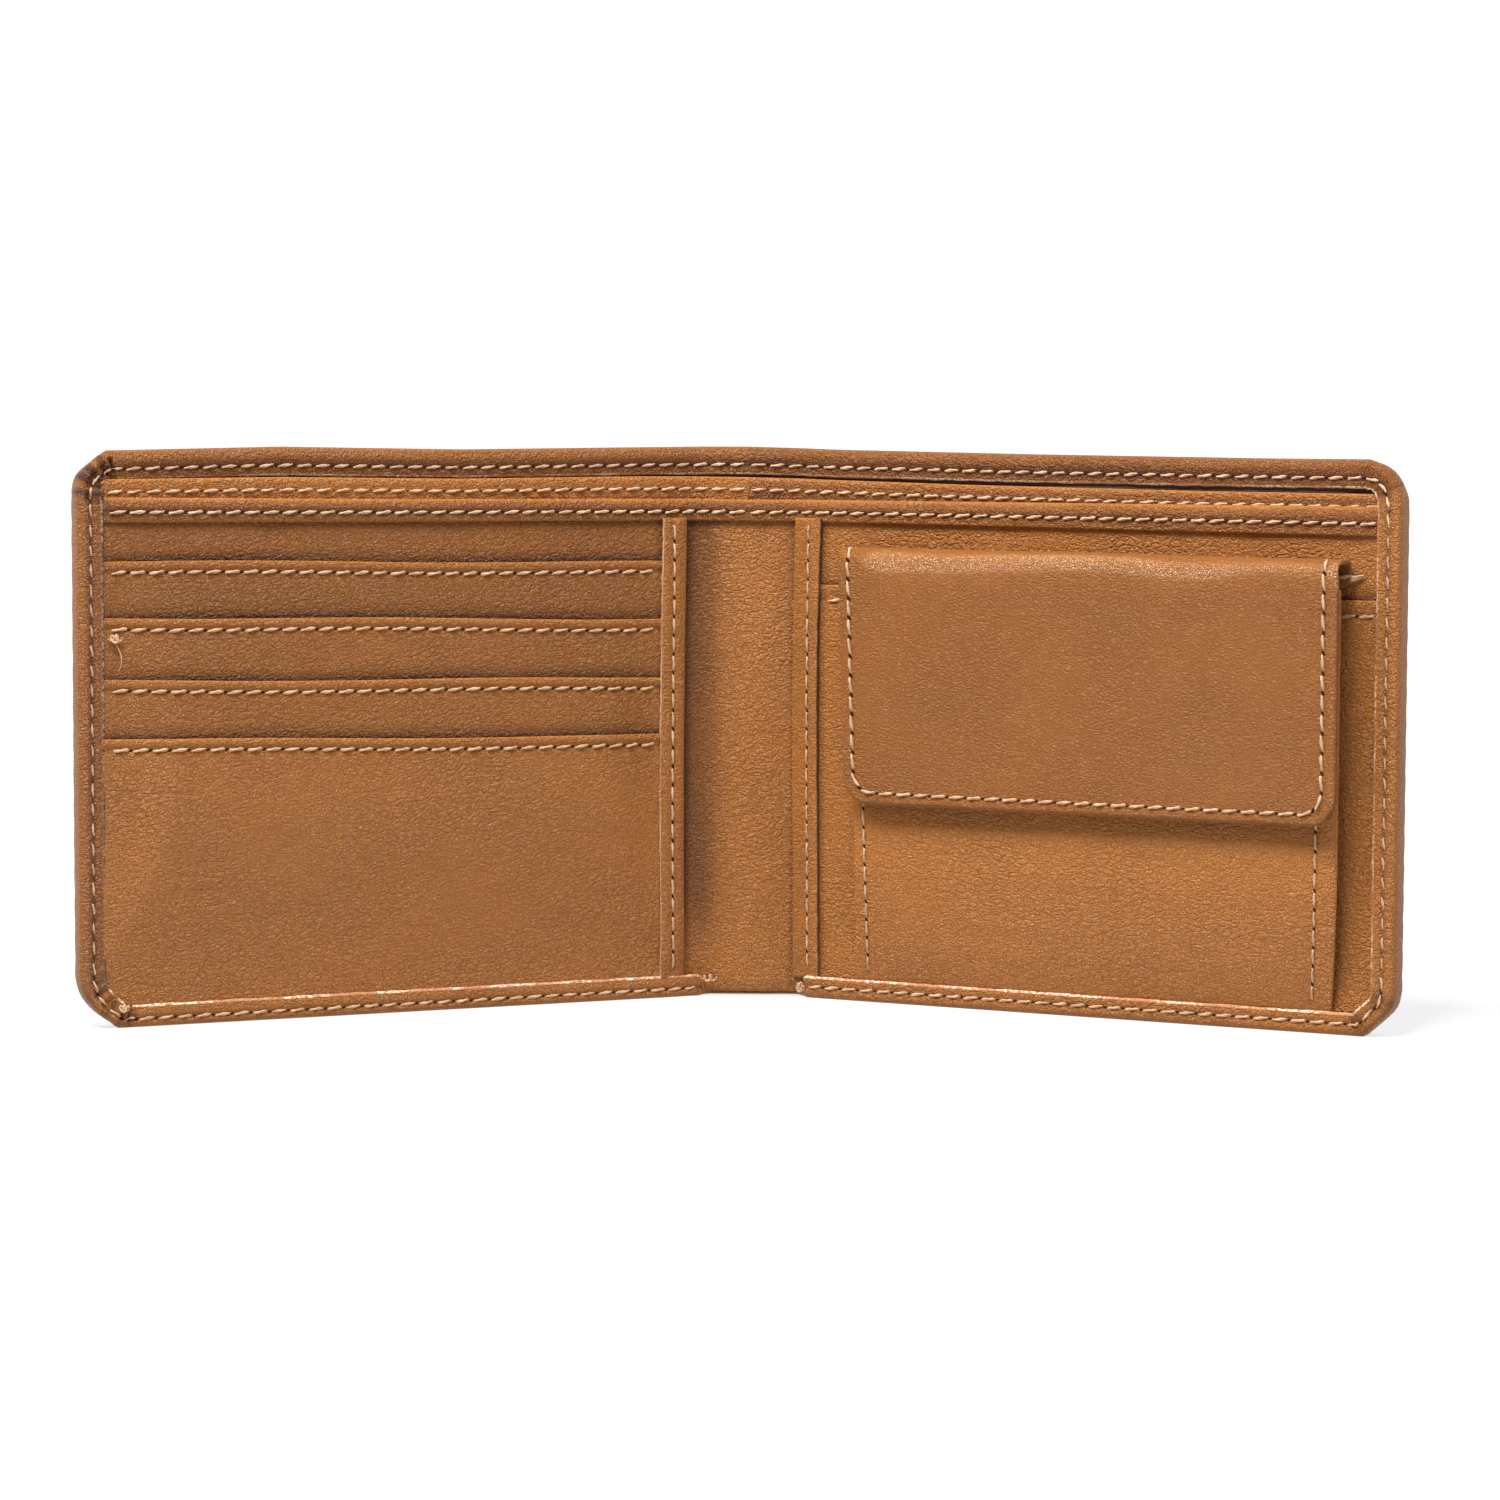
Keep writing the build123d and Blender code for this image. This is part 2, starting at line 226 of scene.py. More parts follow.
def noise(x, y, size_x, size_y, seed):
    """Smooth random values from -1 to 1, changing over about size_x by size_y."""
    grid = np.random.RandomState(seed).uniform(-1, 1, (256, 256))
    fx, fy = np.asarray(x) / size_x + 91.3, np.asarray(y) / size_y + 57.7
    ix, iy = np.floor(fx).astype(int), np.floor(fy).astype(int)
    tx, ty = smooth(fx - ix), smooth(fy - iy)
    a = grid[ix % 256, iy % 256] * (1 - tx) + grid[(ix + 1) % 256, iy % 256] * tx
    b = grid[ix % 256, (iy + 1) % 256] * (1 - tx) + grid[(ix + 1) % 256, (iy + 1) % 256] * tx
    return a * (1 - ty) + b * ty


def fold(side, u, n, z):
    """Points of the flat wallet carried to the rest pose, in metres."""
    u, n, z = np.broadcast_arrays(*(np.asarray(a, float) for a in (u, n, z)))
    turn = LEAN * smooth((u - SPINE_HALF + CREASE) / (2 * CREASE))
    across, depth = u - SPINE_HALF, HINGE_DEPTH - n
    x = SPINE_HALF + across * np.cos(turn) + depth * np.sin(turn)
    y = HINGE_Y - across * np.sin(turn) + depth * np.cos(turn)
    return np.stack([side * x, y, z], -1) * MM


def flat_points(u, n, z):
    return np.stack(np.broadcast_arrays(*(np.asarray(a, float) for a in (u, n, z))), -1)


def spread(low, high, step, dense=(), low_edge=True, high_edge=True):
    """Positions from low to high, closer together at the edges and round the dense places."""
    near = np.array([0, 0.06, 0.18, 0.36, 0.6, 0.9, 1.3])
    values = list(np.linspace(low, high, max(3, int(round((high - low) / step)) + 1)))
    if low_edge:
        values = [v for v in values if v > low + 1.5] + list(low + near)
    if high_edge:
        values = [v for v in values if v < high - 1.5] + list(high - near)
    for place in dense:
        marks = place + np.array([-0.9, -0.6, -0.3, 0, 0.3, 0.6, 0.9])
        marks = [m for m in marks if low + 1.0 < m < high - 1.0]
        values = [v for v in values if abs(v - place) > 1.05 or v <= low + 1.0 or v >= high - 1.0] + marks
    return np.array(sorted(set(round(float(v), 4) for v in values)))


# ---- Meshes ----
class Mesh:
    """Collects points, faces, texture places, and edge wear with painted highlight and painted shade, for one piece.
    """

    def __init__(self):
        self.points, self.places, self.wear, self.faces, self.slots = [], [], [], [], []
        self.count = 0

    def add(self, points, places, wear=0.0):
        points = np.asarray(points, float)
        shape = points.shape[:-1]
        index = np.arange(self.count, self.count + int(np.prod(shape))).reshape(shape)
        self.points.append(points.reshape(-1, 3))
        self.places.append(np.broadcast_to(np.asarray(places, float), shape + (2,)).reshape(-1, 2))
        self.wear.append(np.broadcast_to(np.asarray(wear, float), shape).reshape(-1))
        self.count += index.size
        return index

    def again(self, index):
        """The same points once more, so that a closing face doesn't bend its neighbours' shading."""
        index = np.asarray(index)
        if not hasattr(self, "joined") or len(self.joined[0]) != self.count:
            self.joined = [np.concatenate(part) for part in (self.points, self.places, self.wear)]
        return self.add(*(part[index] for part in self.joined))

    def quads(self, index, slot=0, flip=False, wrap=False):
        """Faces over a grid of point numbers. slot is one number, or one for each column of faces."""
        if wrap:
            index = np.concatenate([index, index[:, :1]], 1)
        a, b, c, d = index[:-1, :-1], index[:-1, 1:], index[1:, 1:], index[1:, :-1]
        corners = [a, d, c, b] if flip else [a, b, c, d]
        self.faces.extend(np.stack(corners, -1).reshape(-1, 4).tolist())
        slots = np.broadcast_to(np.asarray(slot), a.shape).reshape(-1)
        self.slots.extend(slots.tolist())

    def fan(self, ring, middle, slot=0, flip=False):
        for a, b in zip(ring, np.roll(ring, -1)):
            self.faces.append([int(b), int(a), int(middle)] if flip else [int(a), int(b), int(middle)])
            self.slots.append(slot)

    def cap(self, ring, slot=0, flip=False):
        ring = [int(i) for i in ring]
        self.faces.append(ring[::-1] if flip else ring)
        self.slots.append(slot)

    def rod(self, rings, places, flip):
        """A closed tube over rings of points."""
        index = self.add(rings, places)
        self.quads(index, wrap=True, flip=flip)
        self.cap(index[0], flip=not flip)
        self.cap(index[-1], flip=flip)

    def piece(self, name, materials):
        data = bpy.data.meshes.new(name)
        points = np.concatenate(self.points)
        data.from_pydata(points.tolist(), [], self.faces)
        for material in materials:
            data.materials.append(material)
        data.polygons.foreach_set("material_index", self.slots)
        data.polygons.foreach_set("use_smooth", [True] * len(self.faces))
        corner = np.zeros(len(data.loops), int)
        data.loops.foreach_get("vertex_index", corner)
        layer = data.uv_layers.new(name="UVMap")
        layer.data.foreach_set("uv", (np.concatenate(self.places)[corner] * 0.01).astype(np.float32).ravel())
        # This attribute holds edge wear, painted highlight (above 1) and painted shade (below 0).
        wear = data.attributes.new("wear", "FLOAT", "POINT")
        wear.data.foreach_set("value", np.concatenate(self.wear).astype(np.float32))
        data.validate()
        data.update()
        thing = bpy.data.objects.new(name, data)
        bpy.context.scene.collection.objects.link(thing)
        return thing


def on_crease(thing, side):
    """The piece bends between the spine and one half."""
    low, high = (fold(side, SPINE_HALF + shift, HINGE_DEPTH, 0) for shift in (-CREASE, CREASE))
    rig.blend(thing, "spine", HALF_BODY[side], start=tuple(low), end=tuple(high))


def place_piece(thing, side, crease, slot, nodes):
    """Gives the piece its slot and nodes, and, where a side is given, its body."""
    if crease:
        on_crease(thing, side)
    elif side:
        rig.ride(thing, HALF_BODY[side])
    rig.slot(thing, slot)
    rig.replaces(thing, *nodes)
    return thing


def inset_of(u, z, box, radii):
    """Distance inside a box with rounded corners.

    The radii are for its low-u low-z, high-u low-z, high-u high-z and low-u high-z corners.
    """
    u0, u1, z0, z1 = box
    d = np.minimum(np.minimum(u - u0, u1 - u), np.minimum(z - z0, z1 - z))
    corners = ((u0, z0, 1, 1), (u1, z0, -1, 1), (u1, z1, -1, -1), (u0, z1, 1, -1))
    for radius, (cu, cz, su, sz) in zip(radii, corners):
        if radius:
            du, dz = radius - su * (u - cu), radius - sz * (z - cz)
            inside = (du > 0) & (dz > 0)
            d = np.where(inside, radius - np.hypot(du, dz), d)
    return np.maximum(d, 0)


def corner_cut(z, z0, z1, low_radius, high_radius):
    """How far a row's end moves in where the outline's corners are rounded."""
    cut = np.zeros_like(z)
    for radius, depth in ((low_radius, z - z0), (high_radius, z1 - z)):
        if radius:
            inside = np.clip(radius - depth, 0, radius)
            cut = np.maximum(cut, radius - np.sqrt(radius**2 - inside**2))
    return cut


def arc_rows(radius, count=9):
    return radius * (1 - np.cos(np.linspace(0, math.pi / 2, count)))


def round_over(d, radius):
    """How far a surface drops beside its edge."""
    inside = np.clip(radius - d, 0, radius)
    return radius - np.sqrt(np.maximum(radius**2 - inside**2, 0))


def slab(name, side, us, zs, front, back, materials, nodes, crease=False, radii=(0, 0, 0, 0),
         open_edges=(), shift=None, raw=(), wear=None, to_world=None, mirrored=False, joined=None):
    """A closed sheet with rounded edges between two depth surfaces over a grid of u and z.

    raw names the edges that are cut square, and open_edges those that carry on in another piece.
    A mirrored sheet is one whose to_world turns it inside out.
    """
    box = (us[0] - 9 * ("low_u" in open_edges), us[-1], zs[0] - 9 * ("low_z" in open_edges),
           zs[-1] + 9 * ("high_z" in open_edges))
    u, z = np.meshgrid(us, zs)
    width = us[-1] - us[0]
    high = corner_cut(z, zs[0], zs[-1], radii[1], radii[2])
    low = corner_cut(z, zs[0], zs[-1], radii[0], radii[3])
    part = (u - us[0]) / width
    u = us[0] + low + part * (width - low - high)
    d = inset_of(u, z, box, radii)
    from_edge = {"low_u": u - us[0], "high_u": us[-1] - u, "low_z": z - zs[0], "high_z": zs[-1] - z}
    moved_u, moved_z = shift(u, z) if shift else (u, z)
    n_front, n_back = front(moved_u, moved_z), back(moved_u, moved_z)
    radius = np.maximum((n_front - n_back) * 0.42, 0.02)
    for edge in raw:
        radius = np.where(from_edge[edge] < 1.2, 0.1, radius)
    drop = round_over(np.minimum(d, radius), radius)
    mesh = Mesh()
    places = np.stack([side * moved_u, moved_z], -1)
    # Edge wear, plus any painted shade and painted highlight that the given function adds.
    edge_wear_and_painted_light = np.exp(-d / 0.5) if wear is None else np.exp(-d / 0.5) + wear(moved_u, moved_z)
    world = to_world or partial(fold, side)
    front_index = mesh.add(world(moved_u, n_front - drop, moved_z), places, edge_wear_and_painted_light)
    back_index = mesh.add(world(moved_u, n_back + drop, moved_z), places + 37.0, edge_wear_and_painted_light)
    flip = (side == LEFT) != mirrored
    mesh.quads(front_index, flip=flip)
    mesh.quads(back_index, flip=not flip)
    for edge, edge_front, edge_back, turned in (
        ("low_z", front_index[0], back_index[0], True),
        ("high_z", front_index[-1], back_index[-1], False),
        ("low_u", front_index[:, 0], back_index[:, 0], False),
        ("high_u", front_index[:, -1], back_index[:, -1], True),
    ):
        if edge in open_edges and materials[0] is not lining:
            edge_front, edge_back = mesh.again(edge_front), mesh.again(edge_back)
        mesh.quads(np.stack([edge_front, edge_back]), slot=int(edge in raw), flip=turned != flip)
    thing = mesh.piece(name, materials)
    slot = "lining_fabric" if materials[0] is lining else "inner_leather"
    if joined:
        joined(thing)
    return place_piece(thing, None if joined else side, crease, slot, nodes)


# ---- Materials ----
class Nodes:
    """Short calls for building a material's nodes."""

    def __init__(self, name):
        self.material = bpy.data.materials.new(name)
        self.material.use_nodes = True
        self.tree = self.material.node_tree
        self.shader = self.tree.nodes["Principled BSDF"]

    def link(self, value, target):
        if isinstance(value, (int, float, tuple)):
            target.default_value = value
        else:
            self.tree.links.new(value, target)

    def set(self, name, value):
        """Sets one of the shader's own sockets."""
        self.link(value, self.shader.inputs[name])

    def add(self, kind, inputs=(), **settings):
        """A node with its settings and inputs. An input is a number, a colour or another node's output."""
        node = self.tree.nodes.new(kind)
        for key, value in settings.items():
            setattr(node, key, value)
        for key, value in dict(inputs).items():
            self.link(value, node.inputs[key])
        return node

    def math(self, operation, a, b=0.0, clamp=False):
        return self.add("ShaderNodeMath", {0: a, 1: b}, operation=operation, use_clamp=clamp).outputs[0]

    def times(self, a, b):
        return self.math("MULTIPLY", a, b)

    def plus(self, a, b):
        return self.math("ADD", a, b)

    def minus(self, a, b):
        return self.math("SUBTRACT", a, b)

    def ramp(self, value, low, high, to_low=0.0, to_high=1.0):
        inputs = {"Value": value, "From Min": low, "From Max": high, "To Min": to_low, "To Max": to_high}
        return self.add("ShaderNodeMapRange", inputs, interpolation_type="SMOOTHSTEP").outputs["Result"]

    def mix(self, factor, a, b):
        return self.add("ShaderNodeMix", {0: factor, 6: a, 7: b}, data_type="RGBA").outputs[2]

    def place(self, output="Object"):
        return self.add("ShaderNodeTexCoord").outputs[output]

    def place_mm(self, scale=(1, 1, 1), offset=(0, 0, 0)):
        """The piece's own surface coordinates in mm, so the pattern moves with the piece."""
        inputs = {"Vector": self.place("UV"), "Scale": tuple(100 * s for s in scale), "Location": offset}
        return self.add("ShaderNodeMapping", inputs).outputs["Vector"]

    def noise(self, vector, scale, detail=2.0, rough=0.5, output="Fac"):
        inputs = {"Vector": vector, "Scale": scale, "Detail": detail, "Roughness": rough}
        return self.add("ShaderNodeTexNoise", inputs).outputs[output]

    def cells(self, vector, scale):
        """Distance from the edges of irregular cells."""
        inputs = {"Vector": vector, "Scale": scale}
        return self.add("ShaderNodeTexVoronoi", inputs, feature="DISTANCE_TO_EDGE").outputs["Distance"]

    def vector(self, operation, inputs):
        return self.add("ShaderNodeVectorMath", inputs, operation=operation).outputs[0]

    def warp(self, vector, scale, amount):
        """A vector pushed about by noise."""
        centred = self.vector("SUBTRACT", {0: self.noise(vector, scale, output="Color"), 1: (0.5, 0.5, 0.5)})
        return self.vector("ADD", {0: vector, 1: self.vector("SCALE", {0: centred, "Scale": amount})})

    def attribute(self, name):
        return self.add("ShaderNodeAttribute", attribute_name=name).outputs["Fac"]

    def bump(self, height, distance):
        inputs = {"Height": height, "Distance": distance, "Strength": 1.0}
        self.set("Normal", self.add("ShaderNodeBump", inputs).outputs["Normal"])


def rgb(red, green, blue):
    """A colour given as display values from 0 to 255."""
    linear = [((c / 255 + 0.055) / 1.055) ** 2.4 if c > 10 else c / 255 / 12.92 for c in (red, green, blue)]
    return (*linear, 1.0)


def leather(name, tone, grain, depth, wrinkle=0.5, rough=0.5, gloss=0.34):
    """Grained tan leather. grain is the grain's size in mm, and depth its height in mm."""
    m = Nodes(name)
    place = m.place_mm()
    drawn = m.place_mm(scale=(0.62, 1.0, 1.0))
    pebble = m.ramp(m.cells(m.warp(drawn, 0.7 / grain, 0.28 * grain), 1.15 / grain), 0.0, 0.26)
    small = m.ramp(m.cells(m.warp(place, 1.1 / grain, 0.22 * grain), 2.2 / grain), 0.0, 0.26)
    fine = m.noise(place, 2.2 / grain, 3.0, 0.65)
    where_pebbled = m.ramp(m.noise(place, 0.05, 2.0), 0.35, 0.65, 0.50, 1.0)
    long_cells = m.warp(m.place_mm(scale=(0.20, 1.0, 1.0), offset=(3.0, 11.0, 0.0)), 0.35, 1.3)
    crease_line = m.ramp(m.cells(long_cells, 0.36), 0.0, 0.07, 1.0, 0.0)
    crease_here = m.ramp(m.noise(place, 0.09, 2.0), 0.48, 0.66)
    crease = m.times(crease_line, m.times(crease_here, wrinkle))
    height = m.times(m.times(pebble, where_pebbled), 0.60)
    height = m.plus(height, m.times(small, 0.48))
    height = m.plus(height, m.times(fine, 0.80))
    height = m.minus(height, m.times(crease, 0.45))
    base = rgb(*tone)
    darker = rgb(*(c * 0.78 for c in tone))
    redder = rgb(tone[0] * 1.015, tone[1] * 0.985, tone[2] * 0.94)
    lighter = rgb(*(min(255, c * 1.16 + 8) for c in tone))
    colour = m.mix(m.ramp(m.noise(place, 0.035, 3.0), 0.3, 0.7), base, redder)
    cloud = m.ramp(m.noise(place, 0.09, 3.0, 0.6), 0.42, 0.8, 0.0, 0.14)
    colour = m.mix(cloud, colour, darker)
    pits = m.times(m.minus(1.0, pebble), 0.48)
    colour = m.mix(m.times(pits, where_pebbled), colour, darker)
    colour = m.mix(m.times(m.minus(1.0, small), 0.35), colour, darker)
    colour = m.mix(m.ramp(fine, 0.45, 0.75, 0.0, 0.35), colour, lighter)
    # The attribute paints the leather: edge wear lightens it, values above 1 add painted highlight and values below 0
    # add painted shade.
    wear = m.attribute("wear")
    worn_and_highlit = m.times(m.math("MAXIMUM", wear, 0.0), m.noise(place, 0.9, 3.0))
    colour = m.mix(m.math("MULTIPLY", worn_and_highlit, 0.30, clamp=True), colour, lighter)
    # Painted highlight: pale flecks on the small pebbles where light would glint.
    painted_highlight = m.times(m.ramp(wear, 1.05, 1.7), m.math("POWER", small, 3.0))
    colour = m.mix(m.times(painted_highlight, 0.50), colour, rgb(232, 198, 166))
    # Painted shade: a darker brown where the attribute is below 0.
    painted_shade_amount = m.math("MAXIMUM", m.times(wear, -1.0), 0.0, clamp=True)
    colour = m.mix(painted_shade_amount, colour, rgb(tone[0] * 0.46, tone[1] * 0.36, tone[2] * 0.12))
    m.set("Base Color", colour)
    shine = m.plus(m.times(m.noise(place, 0.5, 3.0), 0.18), rough - 0.09)
    m.set("Roughness", shine)
    m.set("Specular IOR Level", gloss)
    m.bump(height, depth * MM)
    return m.material


def raw_edge(name, ground, fleck, share):
    """Cut leather edge: dry and fibrous, with flecks of another shade."""
    m = Nodes(name)
    place = m.place_mm()
    flecks = m.ramp(m.noise(place, 1.6, 4.0, 0.7), 0.40, 0.62)
    long_patches = m.ramp(m.noise(place, 0.11, 1.0), 0.38, 0.6)
    pale = m.times(flecks, m.plus(m.times(long_patches, share), 0.15))
    m.set("Base Color", m.mix(pale, rgb(*ground), rgb(*fleck)))
    m.set("Roughness", 0.9)
    m.bump(m.noise(place, 5.0, 3.0), 0.1 * MM)
    return m.material


def sewing_thread(name):
    m = Nodes(name)
    place = m.place_mm()
    shade = m.ramp(m.noise(place, 0.35, 3.0), 0.3, 0.7)
    colour = m.mix(shade, rgb(168, 130, 94), rgb(194, 158, 122))
    fibre = m.noise(m.place_mm(scale=(1, 6, 1)), 3.0, 2.0)
    colour = m.mix(m.times(fibre, 0.35), colour, rgb(156, 108, 66))
    m.set("Base Color", colour)
    m.set("Roughness", 0.62)
    m.set("Sheen Weight", 0.15)
    m.bump(fibre, 0.03 * MM)
    return m.material


def needle_hole(name):
    m = Nodes(name)
    fleck = m.noise(m.place_mm(), 2.0, 2.0)
    # Near-black: painted shade standing in for the depth of the needle hole.
    m.set("Base Color", m.mix(fleck, rgb(32, 14, 6), rgb(62, 31, 13)))
    m.set("Roughness", 0.95)
    m.set("Specular IOR Level", 0.1)
    return m.material


def woven_lining(name):
    m = Nodes(name)
    place = m.place_mm()
    bands = [m.add("ShaderNodeTexWave", {"Vector": place, "Scale": 0.9}, wave_type="BANDS", bands_direction=way)
             for way in "XY"]
    weave = m.times(*(band.outputs["Fac"] for band in bands))
    patch = m.noise(place, 0.2, 3.0)
    colour = m.mix(weave, rgb(54, 33, 20), rgb(92, 60, 38))
    m.set("Base Color", m.mix(m.times(patch, 0.4), colour, rgb(66, 42, 27)))
    m.set("Roughness", 0.85)
    m.set("Sheen Weight", 0.2)
    m.bump(weave, 0.06 * MM)
    return m.material


def solid_finish(name, dark, light, metallic, rough, scale):
    """A finish for carried-over CAD nodes, patterned by their own rest coordinates."""
    m = Nodes(name)
    where = m.place()
    cloud = m.noise(where, scale, 4.0, 0.6)
    m.set("Base Color", m.mix(m.ramp(cloud, 0.3, 0.7), rgb(*dark), rgb(*light)))
    m.set("Metallic", metallic)
    m.set("Roughness", m.plus(m.times(cloud, 0.25), rough))
    m.bump(m.noise(where, scale * 6, 3.0), 0.02 * MM)
    return m.material


TONE = (157, 96, 35)
pebbled = leather("pebbled_leather", TONE, 1.00, 0.28, 0.5, 0.46)
smoother = leather("smoother_leather", TONE, 0.90, 0.30, 0.8, 0.46)
# A lighter copy of the leather for the coin pocket's front: painted light for the extra light that front gets from
# below.
lighter_coin_leather = leather("bulging_leather", (167, 103, 40), 1.00, 0.30, 0.7, 0.46)
# The flap's leather has a finer grain of its own, and a darker tone that is painted shade for the extra light the
# forward-standing flap gets.
fine_grained = leather("fine_leather", (149, 90, 33), 0.70, 0.30, 0.25, 0.38)
cut_edge = raw_edge("cut_edge", (160, 102, 60), (240, 222, 202), 0.75)
soft_edge = raw_edge("soft_cut_edge", (138, 84, 44), (222, 186, 150), 0.55)
dark_edge = raw_edge("dark_cut_edge", (58, 32, 18), (206, 190, 176), 0.35)
thread = sewing_thread("sewing_thread")
hole = needle_hole("needle_hole")
lining = woven_lining("woven_lining")
LEATHERS = [pebbled, cut_edge]
THREADS = [thread, hole]


# ---- Sewing ----
def sew(mesh, side, points, seed, radius=0.23, slant=0.17, start=0.4, end=0.4, sunk=0.0, facing=1,
        to_world=None, mirrored=False):
    """Adds a row of twisted stitches and their needle holes along flat points, on the side that it faces."""
    world = to_world or partial(fold, side)
    flip = (side == LEFT) != mirrored
    slant = slant if flip else -slant
    random = np.random.RandomState(seed)
    normal = np.array([0.0, facing, 0.0])
    both = np.column_stack([points, np.broadcast_to(radius, len(points))])
    run = np.concatenate([[0], np.cumsum(np.linalg.norm(np.diff(points, axis=0), axis=1))])
    count = max(1, int(round((run[-1] - start - end) / STITCH)))
    pitch = (run[-1] - start - end) / count

    def at(s):
        return np.stack([np.interp(s, run, both[:, k]) for k in range(4)], -1)

    f = np.linspace(0, 1, 13)
    angle = np.linspace(0, 2 * math.pi, 8, endpoint=False)
    hump = np.sin(math.pi * f) ** 0.45
    lift = -0.28 - sunk + 0.40 * hump
    for i in range(count):
        reach = pitch * random.uniform(0.82, 0.90)
        s0 = start + i * pitch + (pitch - reach) / 2
        s = s0 + f * reach
        here = at(s)
        tangent = (at(s + 0.05) - at(s - 0.05))[:, :3]
        tangent /= np.linalg.norm(tangent, axis=1)[:, None]
        lateral = np.cross(tangent, normal)
        tilt = slant * random.uniform(0.7, 1.3)
        centre = here[:, :3] + normal * lift[:, None] + lateral * (tilt * (0.5 - f) * 2)[:, None]
        twist = 9.0 * f + random.uniform(0, 6)
        size = here[:, 3] * random.uniform(0.92, 1.08) * (0.62 + 0.38 * hump)
        r = size[:, None] * (1 + 0.27 * np.cos(2 * angle - twist[:, None]))
        round_about = np.cos(angle)[:, None] * lateral[:, None] + np.sin(angle)[:, None] * normal
        ring = centre[:, None] + r[..., None] * round_about
        places = np.stack(np.broadcast_arrays(s[:, None] + 13.0 * seed, angle * 0.3), -1)
        mesh.rod(world(*np.moveaxis(ring, -1, 0)), places, flip)
        if i < count - 1:
            needle = at(s0 + reach + (pitch - reach) / 2)[:3]
            add_hole(mesh, flip, needle, normal, tangent[-1], lateral[-1] * np.sign(tilt), world)


def add_hole(mesh, flip, here, normal, tangent, lateral, world):
    """A dark dimple where the needle went in."""
    angle = np.linspace(0, 2 * math.pi, 8, endpoint=False)[:, None]
    along_hole = tangent * 0.8 - lateral * 0.6
    across_hole = np.cross(normal, along_hole)
    ring = here - normal * 0.10 + 0.58 * np.cos(angle) * along_hole + 0.29 * np.sin(angle) * across_hole
    place = (here[0], here[2])
    index = mesh.add(world(*ring.T), place)
    mesh.fan(index, mesh.add(world(*(here + normal * 0.11)), place), slot=1, flip=not flip)


def on_face(front, u, z):
    """Flat points of a seam that stands a little proud of a face."""
    return flat_points(u, front(u, z) + SEAM_PROUD, z)


def seam(name, side, lines, nodes, crease, seed=1, **options):
    """One piece of thread work made of one or more lines of flat points."""
    mesh = Mesh()
    for k, points in enumerate(lines):
        sew(mesh, side, points, seed + k, **options)
    return place_piece(mesh.piece(name, THREADS), side, crease, "thread", nodes)


def knot(mesh, side, u, n, z, seed, reach=1.5, size=0.55):
    """A tied-off lump of thread: a short coil lying on the leather."""
    random = np.random.RandomState(seed)
    t = np.linspace(0, 1, 40)
    swirl = 2 * math.pi * 2.6 * t + random.uniform(0, 6)
    centre = np.stack([
        u + reach * (t - 0.5) + 0.35 * np.cos(swirl),
        n + 0.25 + 0.28 * np.sin(swirl * 1.3) * np.sin(math.pi * t),
        z + size * np.sin(swirl) * np.sin(math.pi * t) ** 0.5,
    ], -1)
    tube(mesh, side, centre, 0.21)


def tube(mesh, side, centre, radius):
    """A thin round strand along flat points, tapering to its ends."""
    tangent = np.gradient(centre, axis=0)
    tangent /= np.linalg.norm(tangent, axis=1)[:, None]
    lateral = np.cross(tangent, [0.11, 0.97, 0.21])
    lateral /= np.linalg.norm(lateral, axis=1)[:, None]
    normal = np.cross(lateral, tangent)
    angle = np.linspace(0, 2 * math.pi, 7, endpoint=False)
    f = np.linspace(0, 1, len(centre))
    size = radius * np.sin(math.pi * np.clip(f, 0.04, 0.96)) ** 0.3
    round_about = np.cos(angle)[:, None] * lateral[:, None] + np.sin(angle)[:, None] * normal[:, None]
    ring = centre[:, None] + size[:, None, None] * round_about
    places = np.stack(np.broadcast_arrays(f[:, None] * 9, angle * 0.3), -1)
    mesh.rod(fold(side, *np.moveaxis(ring, -1, 0)), places, side == LEFT)


# ---- Lines that several pieces share ----
# Corners of the cover: how far the outline moves in at distances from its bottom or top edge.
CORNER_LOW = {
    LEFT: ((0, 6.3), (0.7, 5.3), (2.0, 3.4), (3.4, 1.9), (5.0, 0.8), (6.8, 0.15), (8, 0)),
    RIGHT: ((0, 5.4), (0.6, 4.6), (3.6, 1.3), (4.8, 0.5), (6.2, 0.1), (7.2, 0)),
}
CORNER_TOP = {
    LEFT: ((0, 5.9), (0.15, 5.2), (0.5, 4.6), (3.3, 0.95), (4.3, 0.4), (5.8, 0.05), (6.8, 0)),
    RIGHT: ((0, 7.0), (0.3, 5.1), (1.0, 3.4), (2.0, 2.1), (3.2, 1.2), (4.6, 0.5), (6.0, 0.1), (7.4, 0)),
}
CORNER_ROWS = 8.0
LOW_CORNER = 7.5
HEM_END = {LEFT: 7.0, RIGHT: 9.6}
HEM_SIDE = {LEFT: 3.95, RIGHT: 3.8}
HEM_LOW = 3.6
SEW_SIDE = 2.0
SEW_LOW = {LEFT: 1.4, RIGHT: 1.9}
HEM_TOP = 4.5
SEW_TOP = 2.85
HEM_LEATHER = 0.8
ROUNDED = 1.0

CARD_TOPS = (72.3, 63.3, 53.7, 44.4)
CARD_FRONTS = (4.4, 5.0, 5.6, 6.2)
CARD_BOTTOMS = (57.0, 47.5, 38.0, 3.0)
CARD_TILT = ((0.75, -0.85), (1.0, -1.1), (0.8, -1.0), (1.0, -1.1))
SLIP_TOP = 67.8
BINDING = {LEFT: (11.7, 16.2), RIGHT: (8.2, 13.75)}
BINDING_SEW = {LEFT: 14.1, RIGHT: 11.7}
